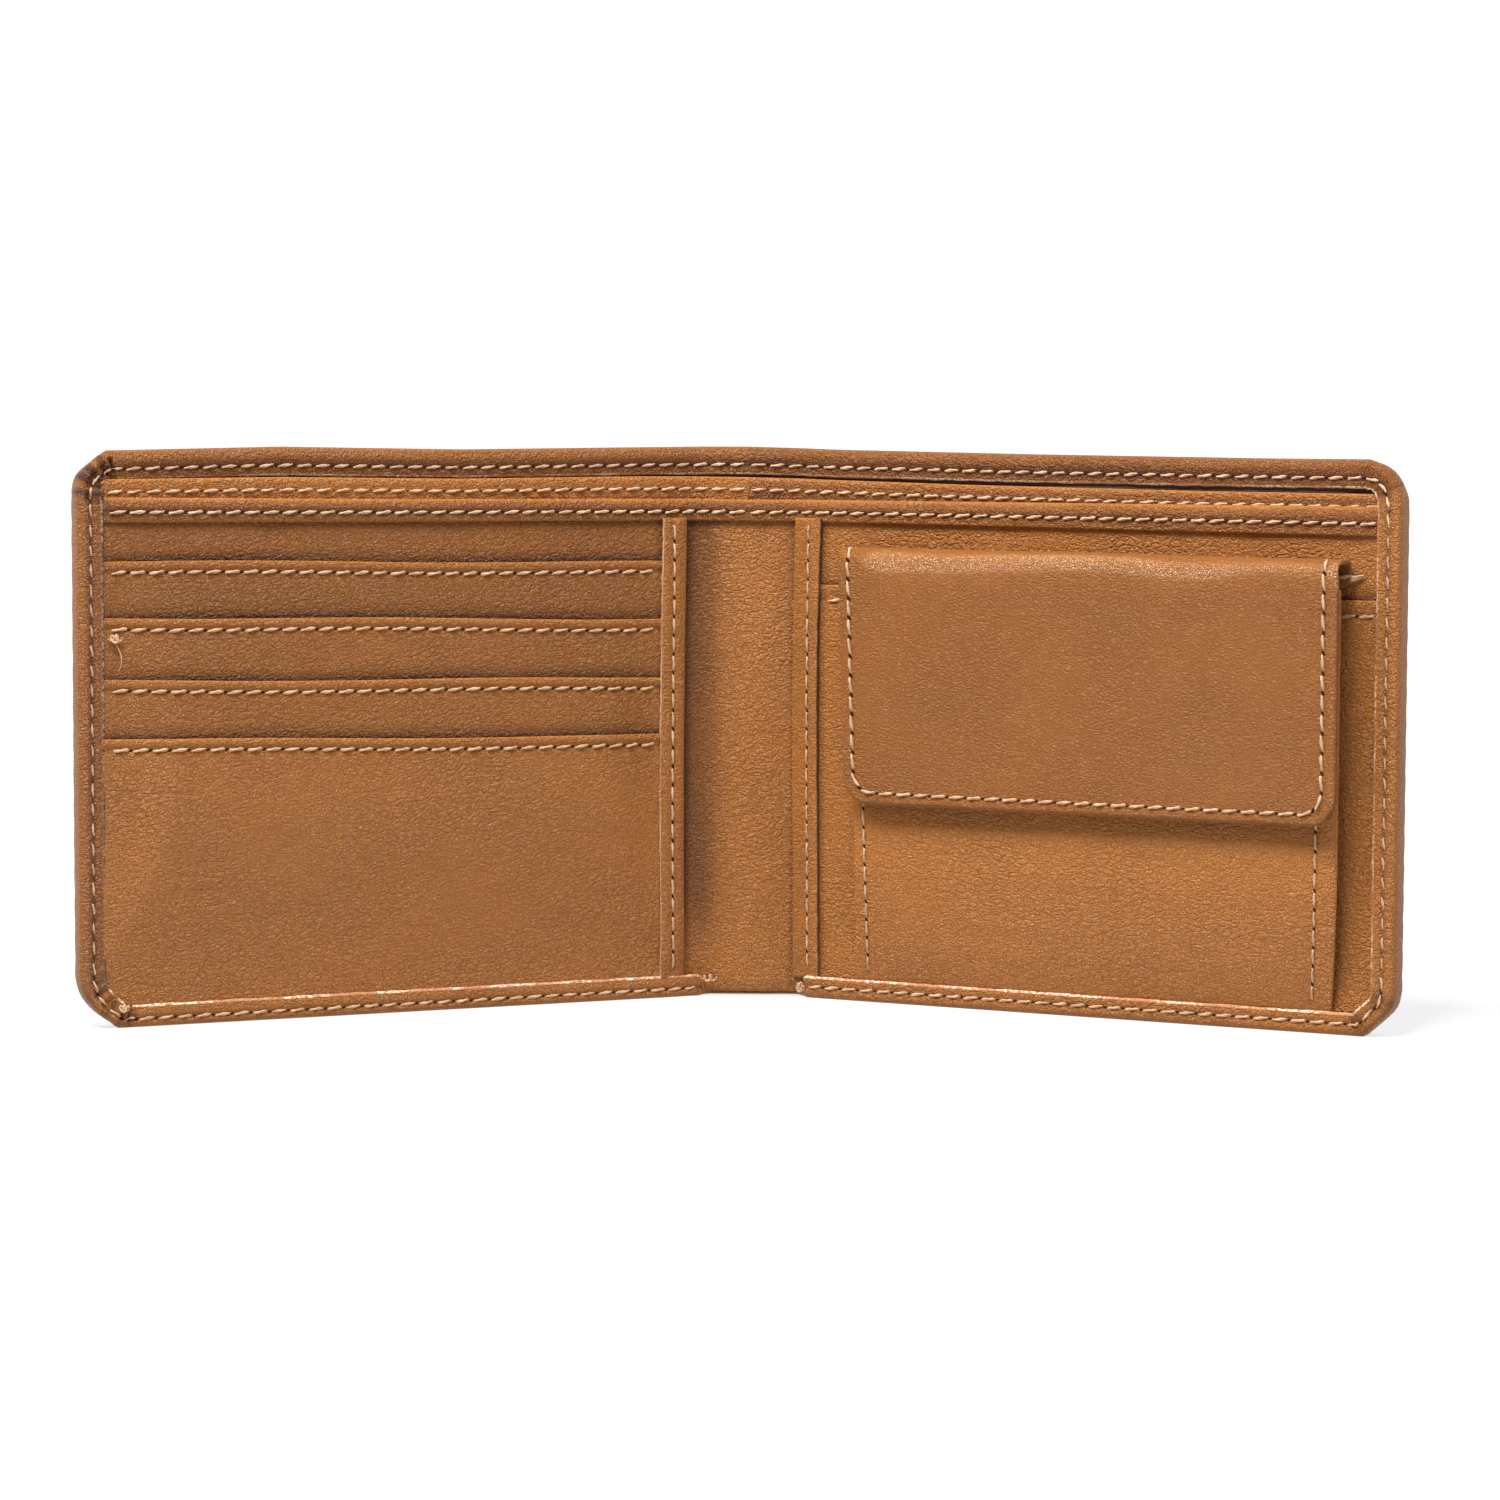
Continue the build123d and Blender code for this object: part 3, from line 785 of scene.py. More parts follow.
# From an edge to its seam: the divider, card pockets, slip pocket, the coin pocket's two sides and the flap.
DIVIDER_SEW, CARD_SEW, SLIP_SEW = 2.0, 1.75, 2.5
COIN_SEW_IN, COIN_SEW_OUT = 2.3, 3.3
FLAP_SEW = 1.9
BAND_SEW = 0.42  # as a share of the band's width
BAND_WIDTH = 4.2

COVER_TOP = {
    LEFT: ((0, 0.0), (30, -0.1), (49, -0.2), (80, 0.45), (104, 0.1), (113, 0)),
    RIGHT: ((0, 0.0), (14, -0.35), (50, -0.6), (90, -0.65), (113, -0.5)),
}


def cover_top(side, u, z):
    """How far the cover's top edge rises or dips from its height, and takes the leather below with it."""
    return line(u, *COVER_TOP[side]) * smooth((z - 70) / 18)


def divider_top(side, u):
    if side == LEFT:
        return line(u, (0, 85.1), (20, 85.3), (50, 85.2), (80, 85.75), (110, 85.65))
    return line(u, (0, 85.1), (14, 84.8), (40, 84.4), (80, 84.15), (110, 84.2))


def band_top(side, u):
    if side == LEFT:
        return line(u, (0, 81.5), (60, 82.1), (110, 82.9))
    return line(u, (0, 81.5), (20, 81.6), (110, 82.3))


def band_low(side, u):
    if side == LEFT:
        return line(u, (0, 78.0), (60, 78.5), (110, 79.0))
    return line(u, (0, 78.0), (110, 77.7))


def band_at(side, u, share):
    """The height at a share of the band's width."""
    low, high = band_low(side, u), band_top(side, u)
    return low + share * (high - low)


def band_share(side, u, z):
    low, high = band_low(side, u), band_top(side, u)
    return (z - low) / (high - low)


def card_top(i, u):
    outer, inner = CARD_TILT[i]
    return CARD_TOPS[i] + line(u, (15, inner), (110, outer)) + 0.15 * np.sin(u / 11.0 + 2 * i)


# ---- The cover, turned over at its edges ----
def corner_in(side, z):
    """How far the cover's outline is in from its full width at a height."""
    total = 0
    for shift in (-0.35, 0, 0.35):
        near = np.clip(z + shift, 0, HEIGHT)
        total = total + line(near, *CORNER_LOW[side]) + line(HEIGHT - near, *CORNER_TOP[side])
    return total / 3


class Rim:
    """The cover's edge from the spine along the bottom, up the side and back along the top."""

    def __init__(self, side, u, z):
        self.side, self.u, self.z = side, u, z
        self.s = np.concatenate([[0], np.cumsum(np.hypot(np.diff(u), np.diff(z)))])
        self.length = self.s[-1]
        window = np.linspace(-1.6, 1.6, 9)
        ahead, behind = self.s[:, None] + window + 0.5, self.s[:, None] + window - 0.5
        du = (np.interp(ahead, self.s, u) - np.interp(behind, self.s, u)).mean(1)
        dz = (np.interp(ahead, self.s, z) - np.interp(behind, self.s, z)).mean(1)
        size = np.hypot(du, dz)
        self.inward = np.stack([-dz / size, du / size], -1)
        low, high = z < CORNER_ROWS, z > HEIGHT - CORNER_ROWS
        bent = corner_in(side, z) > 0.02
        self.low_start = self.s[low & (z > 1e-6)][0]
        self.low_end = self.s[low & bent][-1]
        self.top_start = self.s[high & bent][0]
        self.top_end = self.s[high & (z < HEIGHT - 1e-6)][-1]

    def distance(self, u, z):
        """Distance of points from this outline."""
        fine = np.linspace(0, self.length, 1500)
        outline = np.stack([np.interp(fine, self.s, self.u), np.interp(fine, self.s, self.z)], -1)
        nearest = [np.sqrt(((row[:, None] - outline) ** 2).sum(-1)).min(1) for row in np.stack([u, z], -1)]
        return np.array(nearest)

    def along(self, *values):
        return line(self.s, *values)

    def front(self):
        high, end = RIM_FRONT[self.side] + 0.35, HEM_END[self.side]
        return self.along((0, 1.35), (end - 1.0, 1.35), (end + 1.4, high), (self.low_end, high),
                          (self.top_start + 1.0, high), (self.top_end - 1.5, 2.05), (self.length, 2.05))

    def width(self):
        low, side, end = HEM_LOW, HEM_SIDE[self.side], HEM_END[self.side]
        return self.along((0, 0.95), (end - 1.0, 0.95), (end + 0.8, low), (self.low_start, low),
                          (self.low_end, side), (self.top_start, side), (self.top_end, HEM_TOP),
                          (self.length, HEM_TOP))

    def sewn(self):
        low, side = SEW_LOW[self.side], SEW_SIDE
        return self.along((0, low), (self.low_start, low), (self.low_end, side), (self.top_start, side),
                          (self.top_end, SEW_TOP), (self.length, SEW_TOP))

    def inset(self, d):
        u = self.u + self.inward[:, 0] * d
        z = self.z + self.inward[:, 1] * d
        return u, z + cover_top(self.side, u, z)


def cover_grid(side, us, zs, shrink):
    u, z = np.meshgrid(us, zs)
    z = shrink + z * (HEIGHT - 2 * shrink) / HEIGHT
    wide = HALF_WIDTH[side] - shrink - corner_in(side, z + (z - HEIGHT / 2) * shrink / HEIGHT)
    return u * wide / HALF_WIDTH[side], z


def border(grid):
    return np.concatenate([grid[0], grid[1:, -1], grid[-1, -2::-1]])


def cover_rows(side):
    ends = arc_rows(CORNER_ROWS, 15)
    middle = np.linspace(CORNER_ROWS, HEIGHT - CORNER_ROWS, 50)[1:-1]
    us = spread(0, HALF_WIDTH[side], 1.5, low_edge=False)
    return us, np.concatenate([ends, middle, (HEIGHT - ends)[::-1]])


def rim_of(side):
    us, zs = cover_rows(side)
    u, z = cover_grid(side, us, zs, 0.0)
    return Rim(side, border(u), border(z))


# Sharp creases across the turned edge at its corners: place along the corner (0 to 1), depth and width in mm.
CREASES = {
    (LEFT, "low"): ((0.30, 0.45, 0.28), (0.42, 0.6, 0.3), (0.05, 0.65, 0.3), (-0.14, 0.6, 0.3),
                    (0.72, 0.3, 0.25)),
    (RIGHT, "low"): ((0.35, 0.45, 0.28), (0.62, 0.75, 0.32), (0.9, 0.35, 0.26), (-0.25, 0.3, 0.26)),
    (LEFT, "top"): ((0.02, 0.7, 0.36), (0.28, 0.95, 0.42), (0.55, 0.85, 0.40), (0.80, 0.8, 0.36),
                    (-0.25, 0.55, 0.28)),
    (RIGHT, "top"): ((0.15, 0.22, 0.2), (0.34, 0.28, 0.22), (0.50, 0.20, 0.2), (0.72, 0.15, 0.25)),
}
PLEATED = {(LEFT, "low"): 0.20, (RIGHT, "low"): 0.20, (LEFT, "top"): 0.60, (RIGHT, "top"): 0.20}


def pleats(rim):
    """Gathers where the leather turns a corner: their height along the edge, and how much painted shade each crease
    gets.
    """
    wave, dark = np.zeros_like(rim.s), np.zeros_like(rim.s)
    for where, start, end in (("low", rim.low_start, rim.low_end), ("top", rim.top_start, rim.top_end)):
        f = (rim.s - start) / (end - start)
        window = smooth((f + 0.35) / 0.3) * smooth((1.35 - f) / 0.3)
        wave += PLEATED[rim.side, where] * np.sin(2 * math.pi * 3.6 * f + 0.9) * window
        for place, depth, width in CREASES[rim.side, where]:
            line_here = bell(rim.s - start - place * (end - start), width)
            wave -= depth * line_here
            dark += line_here * depth * 1.5
    return wave, np.clip(dark, 0, 1)


def hem_front(rim, d):
    """Depth of the turned edge's face at a distance d in from the outline."""
    groove = 0.22 * bell(d - rim.sewn(), 0.5)
    swell = 0.10 * np.sin(math.pi * np.clip((d - 0.8) / (rim.width() - 0.8), 0, 1))
    uneven = 0.07 * noise(rim.s, d, 5.0, 2.4, 31 + rim.side) + 0.10 * noise(rim.s, 0, 17.0, 9.0, 35 + rim.side)
    fade = smooth((rim.s - 3) / 9) * smooth((rim.length - rim.s - 2) / 9)
    tilt = 0.9 * smooth((rim.s - rim.top_end) / 6) * (0.45 - np.clip(d / HEM_TOP, 0, 1))
    return rim.front() + tilt + swell - groove + (uneven + pleats(rim)[0] * smooth(d / 1.1)) * fade


def rim_profile(rim):
    """The turned edge's section: inset and depth along the edge, its wear, and 1 where the leather is cut."""
    high, width = rim.front(), rim.width()
    bend = np.minimum(ROUNDED, high - ROUNDED)
    profile = [(np.full_like(high, -0.05), ROUNDED + f * (high - bend - ROUNDED), 0.3, 0)
               for f in (0.33, 0.67, 1.0)]
    for turn in (22.5, 45, 67.5, 90):
        a = math.radians(turn)
        profile.append((bend * (1 - math.cos(a)), high - bend + bend * math.sin(a), 0.25, 0))
    for f in (0.12, 0.25, 0.37, 0.5, 0.62, 0.75, 0.87, 1.0):
        inset = bend + f * (width - 0.32 - bend)
        profile.append((inset, hem_front(rim, inset), 0.1 if f < 0.9 else 0.5, 0))
    edge = hem_front(rim, width - 0.32)
    ragged = 0.10 * noise(rim.s, 0, 1.1, 1.0, 51 + rim.side)
    return profile + [
        (width - 0.01 + ragged, edge - 0.06, 0.0, 1),
        (width + 0.02 + ragged, edge - 0.36, 0.0, 1),
        (width - 0.02 + ragged, np.maximum(edge - HEM_LEATHER, 1.02), 0.0, 1),
        (np.full_like(high, 0.92), np.maximum(high - HEM_LEATHER, 1.01), 0.0, 0),
    ]


def cover(side):
    us, zs = cover_rows(side)
    mesh = Mesh()
    u, z = cover_grid(side, us, zs, 0.0)
    rim = Rim(side, border(u), border(z))
    d = rim.distance(u, z)
    fade = smooth((u - 4) / 14)
    n = round_over(d, ROUNDED) + fade * smooth(d / 4) * (
        0.16 * noise(u, z, 21, 16, 41 + side) + 0.05 * noise(u, z, 5, 4, 43 + side))
    n = n + 0.10 * bell(d - 1.7, 0.3 ** 0.5) * fade
    outer = mesh.add(fold(side, u, n, z + cover_top(side, u, z)), np.stack([side * u, z], -1), np.exp(-d / 0.8))
    mesh.quads(outer, flip=side == RIGHT)

    high = rim.front()
    rings, run = [border(outer)], np.full_like(high, 0.5)
    last = (np.zeros_like(high), np.full_like(high, ROUNDED))
    slots = []
    # Painted shade in the corner creases, along the top hem, up the upright edges and in the seam groove.
    creased = pleats(rim)[1]
    upright = (rim.s > rim.low_end - 2) & (rim.s < rim.top_start + 4)
    cut = np.where(upright, 2 if side == LEFT else 3, 1)
    shaded_top = {LEFT: 0.60, RIGHT: 0.70}[side] * smooth((rim.s - rim.top_start) / 6)
    shaded_side = {LEFT: 0.54, RIGHT: 0.14}[side] * upright
    for inset, depth, wear, slot in rim_profile(rim):
        run = run + np.hypot(inset - last[0], depth - last[1])
        last = (inset, depth)
        pu, pz = rim.inset(inset)
        places = np.stack([side * (rim.u - rim.inward[:, 0] * run), rim.z - rim.inward[:, 1] * run], -1)
        in_seam = 0.55 * bell(inset - rim.sewn(), 0.35) * (depth > high - 0.9)
        painted_shade = creased + shaded_top + shaded_side + in_seam
        rings.append(mesh.add(fold(side, pu, depth, pz), places, wear - painted_shade))
        slots.append(np.where(slot, cut, 0)[1:])
    iu, iz = cover_grid(side, us, zs, 0.9)
    inner = mesh.add(fold(side, iu, 1.0, iz + cover_top(side, iu, iz)), np.stack([side * iu + 9, iz + 31], -1))
    mesh.quads(inner, flip=side == LEFT)
    rings.append(border(inner))
    slots.append(np.zeros_like(cut)[1:])
    index = np.stack(rings)
    mesh.quads(index, slot=np.array(slots), flip=side == LEFT)
    end = list(outer[:, 0]) + list(index[1:-1, -1]) + list(inner[::-1, 0]) + list(index[1:-1, 0][::-1])
    mesh.cap(mesh.again(end), flip=side == RIGHT)
    thing = mesh.piece(f"cover_leather_{HALF_NAME[side]}", [pebbled, cut_edge, dark_edge, soft_edge])
    place_piece(thing, side, True, "cover_leather", ["cover_spine", f"cover_{HALF_NAME[side]}"])


def cover_threads(side):
    """The seam round the cover's edge, on its front and on its outer face."""
    rim = rim_of(side)
    d = rim.sewn()
    keep = rim.s > HEM_END[side] + 0.8
    u, z = rim.inset(d)
    upright = smooth((rim.s - rim.low_end) / 3) * smooth((rim.top_start - rim.s) / 3)
    front = flat_points(u, hem_front(rim, d) + 0.04 - 0.12 * upright, z)[keep]
    rear = flat_points(u, 0.02, z)[keep]
    mesh = Mesh()
    sew(mesh, side, front, 100 + side, start=0.3, end=0.2, radius=(0.23 - 0.05 * upright)[keep], sunk=0.05)
    sew(mesh, side, rear, 104 + side, start=0.3, end=0.2, facing=-1)
    if side == LEFT:
        knot(mesh, side, 6.4, 4.3, 3.0, 11, reach=3.0, size=0.5)
        knot(mesh, side, 107.0, 4.8, 3.2, 12, reach=1.4, size=0.5)
    else:
        knot(mesh, side, 10.2, 4.6, 1.7, 13, reach=1.5, size=0.75)
    name = HALF_NAME[side]
    thing = mesh.piece(f"cover_edge_stitches_{name}", THREADS)
    place_piece(thing, side, True, "thread", [f"cover_edge_thread_{name}"])


# ---- Leather and cloth that cross the spine ----
def steady(value):
    return lambda u, z: np.full_like(u, value)


def cloth_rows(low, high, corner):
    if not corner:
        return np.linspace(low, high, 30)
    return np.concatenate([low + arc_rows(corner), np.linspace(low + corner, high - corner, 24)[1:-1],
                           (high - arc_rows(corner))[::-1]])


def cloth(name, side, box, n0, n1, nodes, crease, rests_on, seed, corner=0):
    """A thin lining: its flat size is the size of its box."""
    u0, u1, z0, z1 = box

    def wavy(base):
        return lambda u, z: base + 0.04 * noise(u, z, 13, 11, seed) * smooth((u - 4) / 9) * (z < z1 - 2)

    thing = slab(name, side, np.linspace(u0, u1, 40), cloth_rows(z0, z1, corner), wavy(n1), wavy(n0), [lining],
                 nodes, crease, radii=(0, corner, corner, 0), open_edges=("low_u",) if u0 == 0 else ())
    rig.sheet(thing, flat=((u1 - u0) * MM, (z1 - z0) * MM), held="stretched", rests_on=rests_on)
    return thing


def divider(side):
    name = HALF_NAME[side]
    us = spread(0, 109.9, 1.8, low_edge=False)
    zs = np.concatenate([0.9 + arc_rows(LOW_CORNER), np.linspace(9, 76, 24),
                         spread(77.5, 85.3, 0.5, low_edge=False)])

    def shift(u, z):
        return u, z + (divider_top(side, u) - 85.3) * smooth((z - 66) / 18)

    def front(u, z):
        near_top = divider_top(side, u) - z
        swell = 0.16 * bell(near_top - 1.2, 1.4 ** 0.5) - 0.12 * bell(near_top - DIVIDER_SEW, 0.45)
        return 2.72 + swell * smooth((u - 2) / 6) + 0.06 * noise(u, z, 6, 2, 61) * smooth((u - 4) / 9)

    # Painted shade in the gap below the cover's hem, with the right half darker all over.
    def painted_shade(u, z):
        near_top = divider_top(side, u) - z
        in_gap = 0.2 * smooth((near_top - 2.6) / 0.8) + 0.6 * smooth((near_top - 3.8) / 0.6)
        return {LEFT: 0.0, RIGHT: -0.48}[side] - in_gap

    slab(f"bill_divider_{name}_leather", side, us, zs, front, steady(1.8), LEATHERS,
         ["bill_divider_spine", f"bill_divider_{name}"], True, radii=(0, LOW_CORNER, 1.5, 0),
         open_edges=("low_u",), shift=shift, wear=painted_shade)


def spine_folds(u, z, seed):
    """Soft upright wrinkles in the bend of the spine."""
    sway = 1.2 * noise(z, 0, 21, 9, seed)
    lines = 0
    for k, (place, width, depth) in enumerate(((3.2, 0.9, 0.16), (5.6, 0.7, 0.20), (7.6, 0.8, 0.14))):
        here = smooth((noise(z, k, 15, 9, seed + k) + 0.45) / 0.6)
        lines = lines - depth * here * bell(u - place - sway, width)
    return lines


def inner_leather(side):
    name = HALF_NAME[side]
    base = {LEFT: "card_base_panel", RIGHT: "coin_base_panel"}[side]
    us = spread(0, 110.2, 1.0, low_edge=False)
    zs = np.concatenate([0.8 + arc_rows(LOW_CORNER), np.linspace(8.8, 74, 64), np.linspace(74.6, 80.8, 14)])
    tops = (lambda u: card_top(0, u)) if side == LEFT else (lambda u: SLIP_TOP + 0 * u)

    def front(u, z):
        n = 3.8 + 0.08 * noise(u, z, 9, 7, 71 + side) * smooth((u - 1) / 4)
        n = n + smooth((u - 0.2) / 2) * spine_folds(u, z, 75 + side)
        pocket = 0.35 * bell(z - tops(u) - 0.25, 0.7) * (u > 15)
        return n - pocket - 0.25 * smooth((2.4 - z) / 1.6)

    # Painted shade: above the pocket tops, under the top band, beside the binding, along the bottom edge, and on the
    # left across the spine's fold and the base panel.
    def painted_shade(u, z):
        gap = np.exp(-np.clip(z - tops(u), 0, 9) / 0.55) * (u > 14)
        under = 0.35 * np.exp(-np.clip(band_low(side, u) - z, 0, 9) / 0.7)
        beside = 0.5 * bell(u - BINDING[side][0], 0.8) + 0.35 * smooth((3.0 - z) / 2)
        if side == LEFT:
            shaded = (0.70 + 0.16 * noise(u, z, 2.2, 17, 77)) * smooth((u - 0.5) / 10) * smooth((14 - u) / 2)
            beside = beside + shaded * smooth((z - 4) / 14)
            beside = beside + 0.30 * smooth((u - 14) / 2)
        return -np.clip(0.9 * gap + under + beside, 0, 1)

    slab(f"inner_leather_{name}", side, us, zs, front, steady(3.15), LEATHERS,
         ["inner_panel_spine", base], True, radii=(0, LOW_CORNER, 0, 0), open_edges=("low_u",), wear=painted_shade)


def top_band(side):
    name = HALF_NAME[side]
    us = spread(0, 110.2, 1.2, low_edge=False)
    zs = spread(0, BAND_WIDTH, 0.3)

    def shift(u, z):
        return u, band_at(side, u, z / BAND_WIDTH)

    def front(u, z):
        f = band_share(side, u, z)
        groove = 0.26 * bell(f - BAND_SEW, 0.11)
        fade = smooth((u - 1) / 5)
        thin = 0.25 * smooth((u - 104) / 5)
        top = 0.40 * smooth((f - 0.6) / 0.4) * smooth((u - 5) / 8)
        uneven = fade * 0.08 * noise(u, z, 6, 2, 81 + side)
        return 4.36 + 0.2 * np.sin(math.pi * np.clip(f, 0, 1)) - groove - thin - top + uneven

    def back(u, z):
        return 2.55 + 1.1 * smooth((0.55 - band_share(side, u, z)) / 0.25)

    # Painted shade: the band is darkened all over, a little more on the left half.
    slab(f"top_band_{name}_leather", side, us, zs, front, back, LEATHERS,
         ["top_band_spine", f"top_band_{name}"], True, open_edges=("low_u",), shift=shift,
         wear=lambda u, z: {LEFT: -0.70, RIGHT: -0.62}[side] + 0.05 * noise(u, z, 12, 3, 85))


def top_threads(side):
    """The seams along the bill divider and the top band."""
    name = HALF_NAME[side]
    u = np.linspace(0, 109.0, 120)
    lines = [
        flat_points(u, 2.70, divider_top(side, u) - DIVIDER_SEW),
        flat_points(u, 4.42, band_at(side, u, BAND_SEW)),
    ]
    nodes = ["top_edge_threads_spine", f"top_edge_threads_{name}"]
    seam(f"top_edge_stitches_{name}", side, lines, nodes, True, seed=120 + side, start=0.15, end=0.3)


def binding(side, panel):
    """The strip that edges a panel beside the spine: folded on the spine's side and cut on the other."""
    low, high = BINDING[side]
    us = spread(low, high, 0.35)
    zs = spread(3.2, 78.6, 1.2)

    def shift(u, z):
        f = (u - low) / (high - low)
        sway = 0.16 * np.sin(z / 13.0 + side) + 0.2 * smooth((z - 60) / 18) * side
        ragged = 0.10 * noise(z, 0, 1.2, 1, 91 + side) * (f > 0.9)
        return u + sway + ragged, z

    def front(u, z):
        f = np.clip((u - low) / (high - low), 0, 1)
        groove = 0.24 * bell(u - BINDING_SEW[side], 0.5)
        dip = 0.55 * smooth((8 - z) / 5)
        crown = 4.75 + 0.38 * f + 0.16 * np.sin(math.pi * f)
        return crown - groove - dip + 0.07 * noise(u, z, 2.5, 6, 95 + side)

    def back(u, z):
        f = np.clip((u - low) / (high - low), 0, 1)
        return 3.86 + 0.45 * f - 0.3 * smooth((8 - z) / 5)

    edge = cut_edge if side == LEFT else dark_edge
    slab(f"{panel}_panel_binding_leather", side, us, zs, front, back, [smoother, edge],
         [f"{panel}_panel_binding"], True, shift=shift, raw=("high_u",))
    z = np.linspace(4.2, 78.2, 70)
    sewn = BINDING_SEW[side] + 0.16 * np.sin(z / 13.0 + side)
    seam(f"{panel}_binding_stitches", side, [on_face(front, sewn, z)], [f"{panel}_binding_thread"], True,
         seed=130 + side, slant=0.06, radius=0.19)


for side in (LEFT, RIGHT):
    half = HALF_NAME[side]
    cover(side)
    cover_threads(side)
    cloth(f"cover_lining_cloth_{half}", side, (0, 110.6, 1.1, 88.4), 1.02, 1.2,
          ["cover_lining_spine", f"cover_lining_{half}"], True, [f"cover_leather_{half}"], 201,
          corner=LOW_CORNER)
    divider(side)
    cloth(f"inner_lining_cloth_{half}", side, (0, 110.2, 1.3, 80.0), 2.9, 3.1, [f"inner_lining_{half}"], True,
          [f"inner_leather_{half}"], 203, corner=LOW_CORNER)
    inner_leather(side)
    top_band(side)
    top_threads(side)
binding(LEFT, "card")
binding(RIGHT, "coin")


# ---- Card pockets ----
def pinched(side, u, z=50.0):
    """How much of its full height a pocket keeps near the seams that hold it down."""
    outer = 0.30 + 0.70 * smooth((109.4 - u) / 12)
    inner = 0.30 + 0.70 * smooth((u - BINDING[side][1] + 0.2) / 11)
    low = 0.12 + 0.88 * smooth((z - 2.0) / 34)
    return np.minimum(np.minimum(outer, inner), low)


def card_front(i, u, z):
    full = CARD_FRONTS[i]
    n = 3.9 + (full - 3.9) * pinched(LEFT, u, z if i == 3 else 50.0)
    to_lip = card_top(i, u) - z
    lip = 0.20 * bell(to_lip - 0.7, 0.6 ** 0.5)
    groove = 0.16 * bell(to_lip - CARD_SEW, 0.5)
    n = n + lip - groove + 0.07 * noise(u, z, 12, 5, 211 + i) + 0.03 * noise(u, z, 3, 2, 215 + i)
    if i < 3:
        n = n - 0.30 * bell(z - card_top(i + 1, u) - 0.35, 0.6)
    return n


def card_pocket(i):
    low, high = CARD_BOTTOMS[i], CARD_TOPS[i]
    us = spread(15.2, 110.2, 1.1)
    rows = spread(low, high, 0.9 if i < 3 else 1.2, dense=(high - CARD_SEW,))

    def shift(u, z):
        f = smooth((z - low) / (high - low) * 2)
        return u, z + (card_top(i, u) - high) * f

    front = partial(card_front, i)

    def back(u, z):
        thick = 0.52 - 0.30 * (i == 3) * smooth((12 - z) / 8)
        return front(u, z) - thick - 0.10 * bell(card_top(i, u) - z - 0.7, 0.6 ** 0.5)

    # Painted shade: the upper three pockets are darker, the top one most, and darkest just above the next pocket's
    # lip.
    def painted_shade(u, z):
        if i == 3:
            return 0 * u
        gap = np.clip(z - card_top(i + 1, u), 0, 9)
        in_gap = 0.9 * np.exp(-gap / 0.5) + 0.10 * np.exp(-gap / 5)
        return (-0.28, -0.18, -0.14)[i] - np.where(z < card_top(i, u) - 3, in_gap, 0)

    slab(f"card_pocket_{i + 1}_leather", LEFT, us, rows, front, back, [smoother, cut_edge],
         [f"card_pocket_{i + 1}"], shift=shift, wear=painted_shade)
    if i < 3:
        box = (16.5, 108.8, max(low - 31, 7.8), high - 1.2)

        def rests(u, z):
            own = card_front(i, u, np.full_like(z, low)) - 0.53
            return np.where(z < 42, np.minimum(own, card_front(3, u, z) - 0.60 - 0.12 * (2 - i)), own)

        thing = slab(f"card_pocket_{i + 1}_cloth", LEFT, np.linspace(*box[:2], 40), np.linspace(*box[2:], 20),
                     rests, lambda u, z: rests(u, z) - 0.07, [lining], [f"card_pocket_lining_{i + 1}"])
        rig.sheet(thing, flat=((box[1] - box[0]) * MM, (box[3] - box[2]) * MM), held="stretched",
                 rests_on=[f"card_pocket_{i + 1}_leather"])


for i in range(4):
    card_pocket(i)


def card_threads():
    mesh = Mesh()
    u = np.linspace(16.6, 109.0, 110)
    for i in range(4):
        z = card_top(i, u) - CARD_SEW
        sew(mesh, LEFT, on_face(partial(card_front, i), u, z), 220 + i, slant=0.2)
    knot(mesh, LEFT, 107.9, 4.6, 61.0, 225, reach=1.8, size=0.6)
    t = np.linspace(0, 1, 24)
    loose_end = flat_points(108.0 - 0.9 * np.sin(2.6 * t), 4.9 + 0.5 * np.sin(3 * t), 60.4 - 4.6 * t)
    tube(mesh, LEFT, loose_end, 0.09)
    place_piece(mesh.piece("card_pocket_stitches", THREADS), LEFT, False, "thread", ["card_pocket_threads"])


card_threads()


# ---- Slip pocket behind the coin pocket ----
def slip_front(u, z):
    to_lip = SLIP_TOP - z
    n = 3.85 + 0.55 * pinched(RIGHT, u, z)
    return n + 0.14 * bell(to_lip - 0.7, 0.6 ** 0.5) - 0.15 * bell(to_lip - SLIP_SEW, 0.5) \
        + 0.06 * noise(u, z, 9, 7, 231)


slab("slip_pocket_leather", RIGHT, spread(13.0, 110.2, 1.2),
     spread(3.0, SLIP_TOP, 1.5, dense=(SLIP_TOP - SLIP_SEW,)), slip_front, lambda u, z: slip_front(u, z) - 0.5,
     LEATHERS, ["slip_pocket"])
cloth("slip_pocket_cloth", RIGHT, (14.6, 108.6, 4.2, 66.8), 3.80, 3.88, ["slip_pocket_lining"], False,
      ["slip_pocket_leather"], 233)
u = np.linspace(14.3, 109.0, 90)
z = np.full_like(u, SLIP_TOP - SLIP_SEW)
seam("slip_pocket_stitches", RIGHT, [on_face(slip_front, u, z)], ["slip_pocket_thread"], False, seed=235)

# ---- Coin pocket ----
COIN_TOP, COIN_LOW = 69.5, 2.6
COIN_EDGE_IN = 22.0
COIN_EDGE_OUT = 104.1
COIN_DEPTH = 8.7


def coin_swell(z):
    """Depth of the pocket's front, which draws in to its sewn bottom."""
    return line(z, (2.5, 4.15), (3.2, 4.3), (4, 4.65), (6, 5.3), (10, 6.4), (16, 7.6), (22, 8.4),
                (28, COIN_DEPTH))


def drawn_in(z):
    return 0.42 * (COIN_DEPTH - coin_swell(z))


